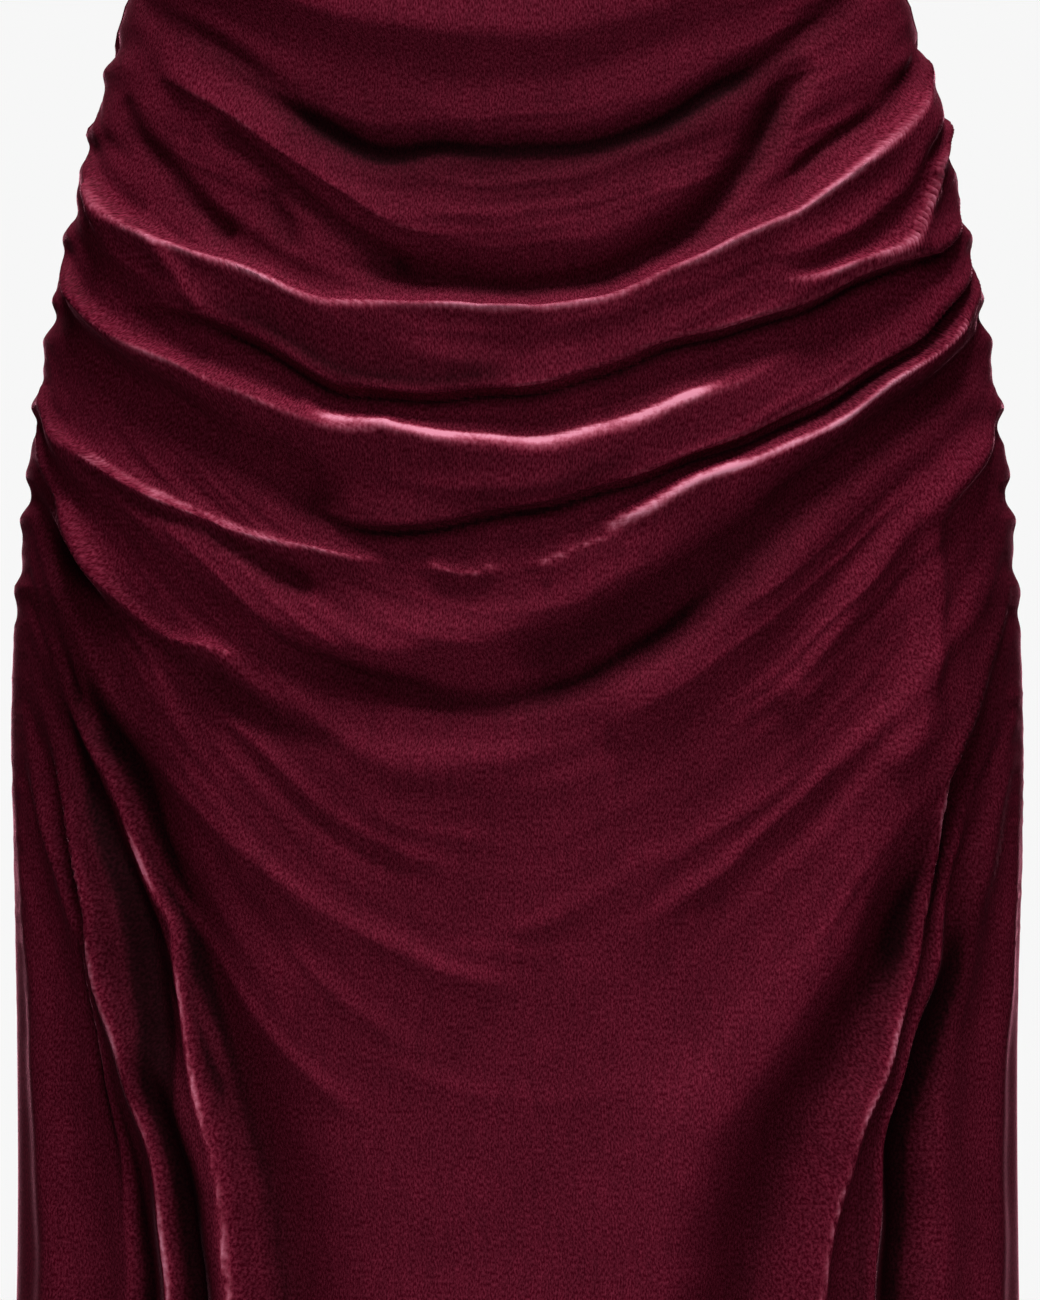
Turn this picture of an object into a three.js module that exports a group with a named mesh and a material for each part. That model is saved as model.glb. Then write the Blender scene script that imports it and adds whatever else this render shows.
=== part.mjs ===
import * as THREE from 'three';

// A floor-length ruched velvet dress, worn and hollow, with no wearer.
// Millimetres, +Z up, the front faces -Y. The origin lies midway between the tops of the shoulders.
// The cloth is gathered into both side seams, so that rolls of it hang in swags from hip to hip.

// Driving sizes
const WALL = 2.4;
const SEAM_GAP = 0.3;
const FOLD_DATUM = -378;
const HEM = -1380;
const STRAP_THICKNESS = 2;

// Mesh steps: columns from side seam to side seam, rows from neck edge to hem
const COLUMNS = 30;
const STRAP_STEPS = 18;
const STRAP_COLUMN = 7;
const COLUMN_SHARE = 2 / COLUMNS;

// The narrowest flank that the mesh can carry
const NARROWEST = 8;
const STEEP_WIDENS = 0.7;

// Horizontal rings of the worn dress. half: half breadth at the side seams,
// front and back: depth before and behind the seams.
const RINGS = [
  { z: -100, half: 121, front: 84, back: 92 },
  { z: -200, half: 141, front: 117, back: 98 },
  { z: -250, half: 147, front: 120, back: 94 },
  { z: -330, half: 139, front: 104, back: 82 },
  { z: -380, half: 146, front: 112, back: 82 },
  { z: -430, half: 160, front: 117, back: 92 },
  { z: -520, half: 179, front: 119, back: 116 },
  { z: -615, half: 190, front: 123, back: 128 },
  { z: -700, half: 191, front: 125, back: 121 },
  { z: -830, half: 189, front: 128, back: 112 },
  { z: -1000, half: 196, front: 134, back: 120 },
  { z: -1380, half: 228, front: 160, back: 158 },
];

// Top edges. at: share of the way from the centre to the side seam, z: height of the edge there.
const STRAP_FROM = STRAP_COLUMN * COLUMN_SHARE;
const STRAP_TO = STRAP_FROM + COLUMN_SHARE;
const FRONT_EDGE = [
  { at: 0, z: -196 },
  { at: 0.2, z: -188 },
  { at: 0.36, z: -158 },
  { at: STRAP_FROM, z: -128 },
  { at: STRAP_TO, z: -128 },
  { at: 0.68, z: -172 },
  { at: 0.84, z: -200 },
  { at: 1, z: -208 },
];
const BACK_EDGE = [
  { at: 0, z: -218 },
  { at: 0.22, z: -206 },
  { at: 0.36, z: -172 },
  { at: STRAP_FROM, z: -140 },
  { at: STRAP_TO, z: -140 },
  { at: 0.68, z: -180 },
  { at: 0.84, z: -202 },
  { at: 1, z: -208 },
];

// Rows of the mesh, as shares of the way down. Those between edge and hem dip in the middle, as the
// swags do.
const FRONT_ROWS = [
  { to: 0.07, rows: 5 },
  { to: 0.17, rows: 9 },
  { to: 0.52, rows: 40 },
  { to: 0.6, rows: 5 },
  { to: 1, rows: 9 },
];
const BACK_ROWS = [
  { to: 0.07, rows: 4 },
  { to: 0.17, rows: 6 },
  { to: 0.5, rows: 26 },
  { to: 0.6, rows: 4 },
  { to: 1, rows: 6 },
];
const ROW_SAG = 46;

// Folds of the front panel. Each path runs through [across, drop] points: mm across as seen from the
// front, + to the viewer's right, and mm below FOLD_DATUM. rise: height of the crest, minus for a
// trough. upper and lower: widths of its flanks to the left and right of the way it runs.
const FRONT_SWAGS = [
  { rise: 4, upper: 10, lower: 16, path: [[-195, -122], [-72, -90], [0, -82], [74, -92], [195, -126]] },
  { rise: 5, upper: 16, lower: 9, path: [[-195, -98], [-90, -60], [6, -48], [90, -62], [195, -104]] },
  { rise: 5, upper: 9, lower: 18, path: [[-195, -70], [-100, -28], [-10, -12], [84, -32], [195, -80]] },
  { rise: 5, upper: 18, lower: 9, path: [[-195, -42], [-110, 4], [-8, 28], [90, 2], [195, -50]] },
  { rise: -3, upper: 5, lower: 6,
    path: [[-170, -10], [-68, 63], [-25, 69], [15, 68], [63, 54], [170, -20]] },
  { rise: -7, upper: 8, lower: 4,
    path: [[-70, 108], [-34, 117], [0, 120], [40, 113], [68, 97], [84, 77], [97, 54], [108, 36]] },
  { rise: -3, upper: 3, lower: 5, path: [[-114, 59], [-90, 77], [-62, 98], [-34, 113]] },
  { rise: -3, upper: 3, lower: 3, path: [[96, 80], [116, 66], [130, 56], [142, 46], [160, 30]] },
  { rise: 9, upper: 3, lower: 16,
    path: [[-205, 46], [-154, 81], [-128, 100], [-97, 112], [-68, 122.5], [-40, 124], [-6, 127],
      [30, 122], [66, 107], [103, 86], [154, 43], [205, -5]] },
  { rise: 3, upper: 3, lower: 6, path: [[-12, 125], [-2, 127.5], [7, 132]] },
  { rise: 6, upper: 13, lower: 2.3,
    path: [[-148, 123], [-114, 131], [-79, 149], [-61, 156], [-25, 159], [12, 154], [48, 143],
      [88, 131], [139, 111], [161, 103], [205, 70]] },
  { rise: 5, upper: 7, lower: 5,
    path: [[88, 111], [117, 100], [128, 92], [141, 81], [155, 61], [200, 25]] },
  { rise: 6.5, upper: 3, lower: 8,
    path: [[88, 117], [114, 110], [134, 102], [141, 94], [148, 83], [155, 71], [205, 30]] },
  { rise: 9, upper: 5, lower: 13,
    path: [[-205, 92], [-170, 117], [-154, 128], [-130, 143], [-97, 159], [-70, 169], [-43, 172],
      [-14, 177], [15, 175], [48, 165], [81, 152], [110, 140]] },
  { rise: -6, upper: 10, lower: 12,
    path: [[-205, 108], [-166, 132], [-134, 159], [-97, 181], [-61, 198]] },
  { rise: 6, upper: 13, lower: 2.3,
    path: [[-79, 198], [-43, 207], [-14, 203], [15, 196], [59, 184], [103, 164], [139, 143],
      [161, 125], [205, 92]] },
  { rise: 7, upper: 4, lower: 10,
    path: [[28, 210], [44, 201], [60, 193], [81, 183], [103, 172], [121, 161], [154, 137],
      [168, 125], [205, 105]] },
  { rise: 5.5, upper: 2.6, lower: 8,
    path: [[-205, 150], [-154, 180], [-134, 191], [-115, 202], [-101, 208], [-72, 214], [-45, 219]] },
  { rise: -4, upper: 4, lower: 4, path: [[-165, 177], [-134, 198], [-115, 208], [-90, 222], [-72, 231]] },
  { rise: 5, upper: 12, lower: 7,
    path: [[-205, 152], [-154, 189], [-130, 209], [-105, 230], [-79, 245], [-43, 251], [-6, 246],
      [30, 231], [66, 212], [103, 185], [139, 158], [205, 112]] },
  { rise: -6, upper: 4, lower: 7,
    path: [[-97, 242], [-68, 258], [-43, 264], [-25, 271], [1, 269], [22, 262], [56, 244], [88, 218]] },
  { rise: -5, upper: 8, lower: 15,
    path: [[-6, 254], [15, 248], [45, 234], [81, 211], [114, 179], [139, 162], [200, 124]] },
  { rise: 3, upper: 3, lower: 5, path: [[6, 223], [12, 218], [24, 213], [37, 210]] },
  { rise: 5, upper: 2.6, lower: 8,
    path: [[-205, 160], [-166, 194], [-154, 211], [-141, 231], [-125, 246], [-110, 251], [-98, 257]] },
  { rise: 3, upper: 3, lower: 6,
    path: [[-170, 196], [-154, 216], [-141, 237], [-126, 253], [-112, 262]] },
  { rise: 3.5, upper: 8, lower: 12,
    path: [[-128, 246], [-105, 263], [-79, 278], [-50, 291], [-21, 296], [12, 287]] },
  { rise: -5, upper: 6, lower: 9,
    path: [[-200, 186], [-150, 232], [-130, 251], [-112, 264], [-97, 274], [-62, 290]] },
  { rise: 5, upper: 12, lower: 12,
    path: [[30, 285], [45, 271], [66, 256], [85, 236], [103, 214], [121, 196], [155, 168],
      [205, 135]] },
  { rise: 4, upper: 8, lower: 8,
    path: [[95, 272], [103, 263], [121, 236], [132, 220], [155, 190], [205, 150]] },
  { rise: 5, upper: 8, lower: 6,
    path: [[132, 298], [141, 283], [146, 263], [150, 238], [154, 198], [190, 168]] },
];

// Folds that fall from the side gathers to the hem
const FRONT_HANGS = [
  { rise: 3, upper: 6, lower: 5,
    path: [[-190, 205], [-161, 249], [-146, 298], [-128, 351], [-110, 392], [-92, 470], [-72, 760],
      [-70, 1010]] },
  { rise: 7, upper: 4, lower: 4,
    path: [[-190, 230], [-146, 293], [-129, 339], [-121, 358], [-112, 401], [-100, 449],
      [-93, 560], [-90, 780], [-96, 1010]] },
  { rise: 4, upper: 5, lower: 4,
    path: [[-192, 240], [-152, 313], [-140, 358], [-131, 392], [-115, 452], [-108, 560],
      [-106, 780], [-114, 1010]] },
  { rise: 7, upper: 4, lower: 4,
    path: [[-195, 245], [-158, 307], [-148, 342], [-141, 377], [-130, 410], [-122, 452],
      [-117, 560], [-119, 780], [-131, 1010]] },
  { rise: 7, upper: 4, lower: 4,
    path: [[-200, 260], [-158, 345], [-148, 380], [-137, 449], [-137, 600], [-145, 800],
      [-165, 1010]] },
  { rise: -5, upper: 4, lower: 3,
    path: [[-170, 258], [-148, 310], [-139, 342], [-132, 376], [-124, 420], [-116, 470],
      [-109, 600], [-107, 780], [-116, 1010]] },
  { rise: -5, upper: 4, lower: 3,
    path: [[-180, 270], [-158, 345], [-151, 388], [-142, 430], [-137, 480], [-135, 600],
      [-139, 780], [-158, 1010]] },
  { rise: 3, upper: 4, lower: 4,
    path: [[-136, 390], [-121, 416], [-110, 452], [-104, 500], [-100, 560]] },
  { rise: 5, upper: 8, lower: 8,
    path: [[-205, 280], [-178, 400], [-168, 560], [-176, 780], [-203, 1010]] },
  { rise: -9, upper: 10, lower: 6,
    path: [[-172, 232], [-148, 288], [-133, 330], [-119, 370], [-107, 405], [-95, 440], [-82, 540],
      [-68, 760], [-64, 1010]] },
  { rise: 7, upper: 11, lower: 13,
    path: [[205, 175], [155, 263], [145, 296], [137, 321], [117, 363], [88, 411], [63, 447],
      [42, 560], [32, 780], [36, 1010]] },
  { rise: -7, upper: 8, lower: 10,
    path: [[165, 280], [138, 348], [118, 390], [94, 440], [74, 560], [64, 780], [72, 1010]] },
  { rise: 7, upper: 3, lower: 5,
    path: [[200, 215], [151, 292], [141, 340], [126, 398], [114, 434], [101, 500], [85, 780],
      [87, 1010]] },
  { rise: 6, upper: 3, lower: 5,
    path: [[200, 236], [156, 320], [143, 372], [132, 410], [124, 452], [116, 600], [111, 800],
      [120, 1010]] },
  { rise: -5, upper: 4, lower: 5,
    path: [[165, 330], [149, 395], [141, 450], [136, 600], [136, 800], [145, 1010]] },
  { rise: 5, upper: 7, lower: 7, path: [[200, 258], [160, 360], [152, 450], [150, 780], [163, 1010]] },
  { rise: 5, upper: 8, lower: 8, path: [[205, 280], [180, 400], [176, 560], [178, 780], [198, 1010]] },
  { rise: 4, upper: 24, lower: 24, path: [[-14, 470], [-16, 620], [-12, 800], [-10, 1010]] },
];

// Folds of the back panel, whose paths are given as seen through the front
const BACK_SWAGS = [
  { rise: 4, upper: 10, lower: 16, path: [[-195, -114], [-84, -78], [0, -68], [90, -80], [195, -116]] },
  { rise: 5, upper: 8, lower: 18, path: [[-205, -60], [-90, -10], [0, 4], [92, -14], [205, -64]] },
  { rise: 6, upper: 8, lower: 20, path: [[-205, -25], [-96, 32], [4, 50], [96, 28], [205, -30]] },
  { rise: 6, upper: 16, lower: 6, path: [[-205, 8], [-110, 62], [-8, 88], [84, 72], [205, 4]] },
  { rise: 8, upper: 5, lower: 20, path: [[-205, 40], [-104, 96], [6, 122], [110, 94], [205, 36]] },
  { rise: 6, upper: 18, lower: 5, path: [[-205, 72], [-92, 134], [14, 154], [104, 130], [205, 66]] },
  { rise: 8, upper: 6, lower: 18, path: [[-205, 96], [-110, 160], [-4, 188], [98, 166], [205, 98]] },
  { rise: 6, upper: 16, lower: 5, path: [[-205, 124], [-86, 200], [10, 216], [100, 190], [205, 126]] },
  { rise: 8, upper: 7, lower: 18, path: [[-205, 146], [-104, 228], [-6, 252], [90, 232], [205, 150]] },
  { rise: 6, upper: 12, lower: 8, path: [[-205, 170], [-120, 252], [-30, 292], [60, 276], [205, 172]] },
  { rise: 5, upper: 9, lower: 11, path: [[-205, 190], [-130, 290], [-50, 340], [20, 352]] },
  { rise: 5, upper: 9, lower: 11, path: [[10, 330], [74, 306], [140, 240], [205, 190]] },
  { rise: 4, upper: 8, lower: 11, path: [[-200, 205], [-140, 318], [-70, 386], [-30, 404]] },
  { rise: 4, upper: 8, lower: 11, path: [[20, 396], [84, 352], [144, 280], [205, 206]] },
  { rise: -5, upper: 8, lower: 10, path: [[-180, 60], [-84, 112], [6, 136], [96, 112], [180, 52]] },
  { rise: -5, upper: 8, lower: 10, path: [[-170, 160], [-80, 222], [4, 236], [84, 214], [170, 152]] },
];
const BACK_HANGS = [
  { rise: 5, upper: 7, lower: 6, path: [[-196, 215], [-140, 350], [-104, 480], [-84, 700], [-86, 1010]] },
  { rise: 5, upper: 6, lower: 6,
    path: [[-200, 240], [-152, 380], [-128, 520], [-118, 740], [-126, 1010]] },
  { rise: 5, upper: 7, lower: 7,
    path: [[-204, 270], [-172, 420], [-156, 600], [-156, 800], [-172, 1010]] },
  { rise: 6, upper: 14, lower: 14, path: [[-60, 430], [-46, 560], [-40, 780], [-42, 1010]] },
  { rise: 5, upper: 18, lower: 18, path: [[8, 440], [4, 600], [6, 800], [4, 1010]] },
  { rise: 6, upper: 10, lower: 12, path: [[196, 210], [134, 352], [84, 470], [54, 700], [50, 1010]] },
  { rise: 5, upper: 6, lower: 7, path: [[200, 236], [150, 376], [118, 520], [96, 740], [98, 1010]] },
  { rise: 5, upper: 7, lower: 7, path: [[204, 262], [166, 400], [144, 560], [136, 780], [146, 1010]] },
  { rise: 5, upper: 8, lower: 8, path: [[206, 290], [186, 440], [176, 640], [178, 820], [196, 1010]] },
];

// Gathers along the side seams, shared by both panels
const GATHERS = { from: -240, to: -640, spacing: 23, rise: 1.7, reach: 0.13, sway: 2.6 };

// How folds change on their way
const PATH_STEPS = 26;
const SWAG_ENDS = 0.16;
const SWAG_SQUEEZE = 0.45;
const HANG_GROWTH = 1.1;
const HANG_ENDS = 0.22;
const SEEN_TURN = THREE.MathUtils.degToRad(55);
const SEEN_LIMIT = 205;
const SIDE_FADE_FROM = 0.66;
const SIDE_FADE_LEAVES = 0.4;
const HIGHEST = 20;

// Where the folds are seen from: distance in front of the cloth, and height
const EYE_DISTANCE = 3000;
const EYE_HEIGHT = -630;

const ease = (value) => THREE.MathUtils.smoothstep(value, 0, 1);

// Smooth curve through a table's rows: cubic pieces whose slopes come from the rows on both sides.
function lookUp(rows, key, column, value) {
  const last = rows.length - 2;
  const found = rows.findIndex((row, i) => i > 0 && (value - row[key]) * (rows[0][key] - row[key]) >= 0);
  const i = found < 0 ? last : found - 1;
  const slope = (j) => {
    const before = rows[Math.max(j - 1, 0)];
    const after = rows[Math.min(j + 1, rows.length - 1)];
    return (after[column] - before[column]) / (after[key] - before[key]);
  };
  const span = rows[i + 1][key] - rows[i][key];
  const t = (value - rows[i][key]) / span;
  const t2 = t * t;
  const t3 = t2 * t;
  return (2 * t3 - 3 * t2 + 1) * rows[i][column] + (t3 - 2 * t2 + t) * span * slope(i)
    + (3 * t2 - 2 * t3) * rows[i + 1][column] + (t3 - t2) * span * slope(i + 1);
}

// Place on the cloth as seen from in front: across, and height above FOLD_DATUM. Past SEEN_TURN the
// ring is carried on evenly. What lies further back looks nearer the middle.
function asSeen(side, turn, z) {
  const half = lookUp(RINGS, 'z', 'half', z);
  const depth = lookUp(RINGS, 'z', side < 0 ? 'front' : 'back', z);
  const shown = Math.min(Math.abs(turn), SEEN_TURN);
  const past = (Math.abs(turn) - shown) * half * Math.cos(SEEN_TURN);
  const recede = 1 + (depth * (1 - Math.cos(shown))) / EYE_DISTANCE;
  const across = (Math.sign(turn) * (half * Math.sin(shown) + past)) / recede;
  return new THREE.Vector2(across, EYE_HEIGHT + (z - EYE_HEIGHT) / recede - FOLD_DATUM);
}

// A fold's path as short straight runs of the smooth curve through its points.
function tracePath(fold) {
  const curve = new THREE.SplineCurve(fold.path.map(([across, drop]) => new THREE.Vector2(across, -drop)));
  return { ...fold, runs: curve.getPoints(PATH_STEPS) };
}

// Nearest place on a path: its share of the way, the distance, + on the path's left, and how steep
// the path is there.
function nearest(runs, point) {
  let best = { distance: Infinity, side: 1, share: 0, steep: 0 };
  for (let i = 0; i < runs.length - 1; i += 1) {
    const along = runs[i + 1].clone().sub(runs[i]);
    const to = point.clone().sub(runs[i]);
    const t = THREE.MathUtils.clamp(to.dot(along) / along.lengthSq(), 0, 1);
    const distance = to.distanceTo(along.clone().multiplyScalar(t));
    if (distance < best.distance) {
      best = {
        distance,
        side: Math.sign(along.cross(to)) || 1,
        share: (i + t) / (runs.length - 1),
        steep: Math.abs(along.y) / along.length(),
      };
    }
  }
  return best;
}

// Height of a fold beside its path. Flanks too narrow for the mesh are widened, most where the path
// is steep, and the fold lowered to match.
function flankHeight(fold, scale, { distance, side, steep }) {
  const least = NARROWEST * (1 + STEEP_WIDENS * steep);
  const upper = Math.max(fold.upper * scale, least);
  const lower = Math.max(fold.lower * scale, least);
  const lowered = ((fold.upper + fold.lower) * scale) / (upper + lower);
  return fold.rise * lowered * Math.exp(-((distance / (side > 0 ? upper : lower)) ** 2));
}

function swagHeight(fold, point) {
  const place = nearest(fold.runs, point);
  const squeeze = 1 - SWAG_SQUEEZE * (point.x / SEEN_LIMIT) ** 2;
  return ease(place.share / SWAG_ENDS) * ease((1 - place.share) / SWAG_ENDS)
    * flankHeight(fold, squeeze, place);
}

function hangHeight(fold, point) {
  const place = nearest(fold.runs, point);
  const growth = 1 + HANG_GROWTH * place.share;
  return growth * ease(place.share / HANG_ENDS) * flankHeight(fold, growth, place);
}

// Puckers that run in from the side seams, strongest at the seam.
function gatherHeight(share, z) {
  const { from, to, spacing, rise, reach, sway } = GATHERS;
  const span = ease((from - z) / 60) * ease((z - to) / 60);
  const wave = Math.sin((2 * Math.PI * z) / spacing + sway * Math.sin(z / 71));
  return rise * span * wave * Math.exp(-(1 - Math.abs(share)) / reach);
}

// Folds run together towards the side seams, so they sink there, and end at the seam itself.
function foldShare(share) {
  const size = Math.abs(share);
  const sunk = ease((size - SIDE_FADE_FROM) / (1 - SIDE_FADE_FROM));
  return (1 - (1 - SIDE_FADE_LEAVES) * sunk) * ease((1 - size) / 0.05);
}

// One cloth panel: side is -1 for the front and +1 for the back.
function panelGrid(side, edge, bands, swags, hangs) {
  const swagPaths = swags.map(tracePath);
  const hangPaths = hangs.map(tracePath);
  const drops = rowShares(bands);
  const outer = [];
  const inner = [];
  for (const drop of drops) {
    for (let column = 0; column <= COLUMNS; column += 1) {
      const share = (2 * column) / COLUMNS - 1;
      const top = lookUp(edge, 'at', 'z', Math.abs(share));
      const sag = ROW_SAG * Math.sin(Math.PI * drop) * (1 - share * share);
      const z = THREE.MathUtils.lerp(top, HEM, drop) - sag;
      const turn = (share * Math.PI) / 2;
      const seen = asSeen(side, turn, z);
      const folds = swagPaths.reduce((sum, fold) => sum + swagHeight(fold, seen), 0)
        + hangPaths.reduce((sum, fold) => sum + hangHeight(fold, seen), 0);
      const height = HIGHEST * Math.tanh((folds * foldShare(share)) / HIGHEST) + gatherHeight(share, z);
      outer.push(wallPoint(side, turn, z, height));
      inner.push(wallPoint(side, turn, z, height - WALL));
    }
  }
  return { outer, inner, columns: COLUMNS, rows: drops.length - 1 };
}

// Shares of the way from the top edge to the hem, closest together where the cloth is ruched.
function rowShares(bands) {
  const shares = [0];
  let start = 0;
  for (const { to, rows } of bands) {
    for (let row = 1; row <= rows; row += 1) {
      shares.push(start + ((to - start) * row) / rows);
    }
    start = to;
  }
  return shares;
}

// A point of a ring, moved out along the ring's own normal.
function wallPoint(side, turn, z, height) {
  const half = lookUp(RINGS, 'z', 'half', z);
  const depth = lookUp(RINGS, 'z', side < 0 ? 'front' : 'back', z);
  const flat = new THREE.Vector2(half * Math.sin(turn), side * depth * Math.cos(turn));
  const normal = new THREE.Vector2(flat.x / half ** 2, flat.y / depth ** 2).normalize();
  flat.addScaledVector(normal, height);
  return new THREE.Vector3(flat.x, flat.y + (side * SEAM_GAP) / 2, z);
}

// A closed wall from matching outer and inner grids. flip turns the faces the other way.
function wallGeometry({ outer, inner, columns, rows }, flip) {
  const width = columns + 1;
  const offset = outer.length;
  const index = [];
  const quad = (a, b, c, d) => index.push(...(flip ? [a, c, b, a, d, c] : [a, b, c, a, c, d]));
  for (let row = 0; row < rows; row += 1) {
    for (let column = 0; column < columns; column += 1) {
      const a = row * width + column;
      quad(a, a + width, a + width + 1, a + 1);
      quad(offset + a, offset + a + 1, offset + a + width + 1, offset + a + width);
    }
    const left = row * width;
    const right = left + columns;
    quad(left, offset + left, offset + left + width, left + width);
    quad(right, right + width, offset + right + width, offset + right);
  }
  for (let column = 0; column < columns; column += 1) {
    const low = rows * width + column;
    quad(column, column + 1, offset + column + 1, offset + column);
    quad(low, offset + low, offset + low + 1, low + 1);
  }
  const geometry = new THREE.BufferGeometry();
  geometry.setFromPoints([...outer, ...inner]);
  geometry.setIndex(index);
  geometry.computeVertexNormals();
  return geometry;
}

// A strap grows from one column of the front's top edge to the same column of the back's.
function strapGeometry(front, back, sideways) {
  const middle = COLUMNS / 2;
  const near = middle + sideways * STRAP_COLUMN;
  const far = near + sideways;
  const columns = [Math.min(near, far), Math.max(near, far)];
  const corners = [front, back].flatMap((grid) => columns.map((column) => grid.outer[column]));
  const ends = corners.map((corner) => corner.clone().setZ(corner.z + SEAM_GAP));
  const centre = (a, b) => a.clone().add(b).multiplyScalar(0.5);
  const start = centre(ends[0], ends[1]);
  const finish = centre(ends[2], ends[3]);
  const route = new THREE.CatmullRomCurve3([
    start,
    new THREE.Vector3(start.x * 0.98, start.y + 14, -82),
    new THREE.Vector3(start.x * 0.97, start.y * 0.52, -26),
    new THREE.Vector3(start.x * 0.97, 4, 0),
    new THREE.Vector3(finish.x * 0.97, finish.y * 0.62, -30),
    new THREE.Vector3(finish.x * 0.98, finish.y - 6, -90),
    finish,
  ]);
  const across = [ends[1].clone().sub(ends[0]), ends[3].clone().sub(ends[2])];
  const outer = [];
  const inner = [];
  for (let step = 0; step <= STRAP_STEPS; step += 1) {
    const share = step / STRAP_STEPS;
    const point = route.getPoint(share);
    const way = route.getTangent(share);
    const level = new THREE.Vector3(across[0].length(), 0, 0);
    const end = share < 0.5 ? across[0] : across[1];
    const width = end.clone().lerp(level, ease(4 * Math.min(share, 1 - share)));
    const out = width.clone().cross(way).normalize();
    const upright = share < 0.5 ? -1 : 1;
    if (step === 0 || step === STRAP_STEPS) {
      out.set(0, upright, 0).applyAxisAngle(new THREE.Vector3(0, 0, 1), Math.atan2(width.y, width.x));
    }
    for (const half of [-0.5, 0, 0.5]) {
      const edge = point.clone().addScaledVector(width, half);
      outer.push(edge);
      inner.push(edge.clone().addScaledVector(out, -STRAP_THICKNESS));
    }
  }
  return wallGeometry({ outer, inner, columns: 2, rows: STRAP_STEPS }, true);
}

const velvet = () => new THREE.MeshStandardMaterial({ color: 0x6b1020, roughness: 0.85, metalness: 0 });

function addPiece(group, name, geometry) {
  const mesh = new THREE.Mesh(geometry, velvet());
  mesh.name = name;
  group.add(mesh);
}

const dress = new THREE.Group();
const frontGrid = panelGrid(-1, FRONT_EDGE, FRONT_ROWS, FRONT_SWAGS, FRONT_HANGS);
const backGrid = panelGrid(1, BACK_EDGE, BACK_ROWS, BACK_SWAGS, BACK_HANGS);
addPiece(dress, 'front', wallGeometry(frontGrid, false));
addPiece(dress, 'back', wallGeometry(backGrid, true));
addPiece(dress, 'strap_right', strapGeometry(frontGrid, backGrid, -1));
addPiece(dress, 'strap_left', strapGeometry(frontGrid, backGrid, 1));

export default dress;
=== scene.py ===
import math
from collections import namedtuple

import bpy
import numpy as np
from bpy.props import FloatProperty, FloatVectorProperty, IntProperty, PointerProperty
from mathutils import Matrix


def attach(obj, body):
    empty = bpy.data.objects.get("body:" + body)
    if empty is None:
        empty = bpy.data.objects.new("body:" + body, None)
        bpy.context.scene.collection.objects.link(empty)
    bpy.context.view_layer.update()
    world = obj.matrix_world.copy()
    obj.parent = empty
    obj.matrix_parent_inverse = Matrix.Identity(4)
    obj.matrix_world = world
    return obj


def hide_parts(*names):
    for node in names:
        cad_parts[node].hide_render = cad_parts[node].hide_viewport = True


bl_info = {
    "name": "Ruched Velvet Dress",
    "version": (1, 0, 0),
    "blender": (4, 5, 0),
    "location": "View3D > Sidebar > Dress",
    "description": "Builds a worn, hollow velvet dress gathered into both side seams",
    "category": "Object",
}

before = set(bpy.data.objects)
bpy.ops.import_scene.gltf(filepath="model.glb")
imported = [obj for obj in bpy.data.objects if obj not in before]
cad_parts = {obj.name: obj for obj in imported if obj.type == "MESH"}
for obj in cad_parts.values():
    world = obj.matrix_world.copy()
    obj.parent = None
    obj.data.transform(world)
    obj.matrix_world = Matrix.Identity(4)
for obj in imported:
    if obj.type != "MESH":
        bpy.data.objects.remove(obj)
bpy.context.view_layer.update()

MM = 0.001
BODY = "root"

# Sizes of the cloth, in millimetres, in the frame's axes: +Z up, front towards -Y
SEAM_GAP = 0.02
FOLD_DATUM = -378
HEM = -1380
ROW_SAG = 46
EYE_DISTANCE = 3000
EYE_HEIGHT = -630
SEEN_TURN = math.radians(55)
SEEN_LIMIT = 205

# How far a panel's columns crowd together halfway between the centre and the side seams
DENSER = 0.09

# Horizontal rings of the worn dress: height, half breadth, depth before and behind the side seams
Ring = namedtuple("Ring", "z half front back")
RINGS = (
    Ring(-100, 121, 84, 92),
    Ring(-200, 141, 117, 98),
    Ring(-250, 147, 120, 94),
    Ring(-330, 139, 104, 82),
    Ring(-380, 146, 112, 82),
    Ring(-430, 160, 117, 92),
    Ring(-520, 179, 119, 116),
    Ring(-615, 190, 123, 128),
    Ring(-700, 191, 125, 121),
    Ring(-830, 189, 128, 112),
    Ring(-1000, 196, 134, 120),
    Ring(-1380, 228, 160, 158),
)

# Top edges: share of the way from the centre to the side seam, and height there
STRAP_FROM = 7 / 15
STRAP_TO = 8 / 15
Edge = namedtuple("Edge", "at z")
FRONT_EDGE = (
    Edge(0, -196),
    Edge(0.2, -188),
    Edge(0.36, -158),
    Edge(STRAP_FROM, -128),
    Edge(STRAP_TO, -128),
    Edge(0.68, -172),
    Edge(0.84, -200),
    Edge(1, -208),
)
BACK_EDGE = (
    Edge(0, -218),
    Edge(0.22, -206),
    Edge(0.36, -172),
    Edge(STRAP_FROM, -140),
    Edge(STRAP_TO, -140),
    Edge(0.68, -180),
    Edge(0.84, -202),
    Edge(1, -208),
)

# Rows of a panel's mesh, as shares of the way from its top edge to its hem
Band = namedtuple("Band", "to rows")
FRONT_ROWS = (Band(0.07, 12), Band(0.17, 45), Band(0.36, 240), Band(0.52, 84), Band(0.62, 24),
              Band(1, 36))
BACK_ROWS = (Band(0.07, 9), Band(0.17, 27), Band(0.5, 144), Band(0.62, 27), Band(1, 33))

# The inner side has one row and column for each INSIDE_STEP of the outer side, and follows the lowest
# point within INSIDE_REACH of them, so that the wall never crosses itself
INSIDE_STEP = 3
INSIDE_REACH = 4

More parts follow.
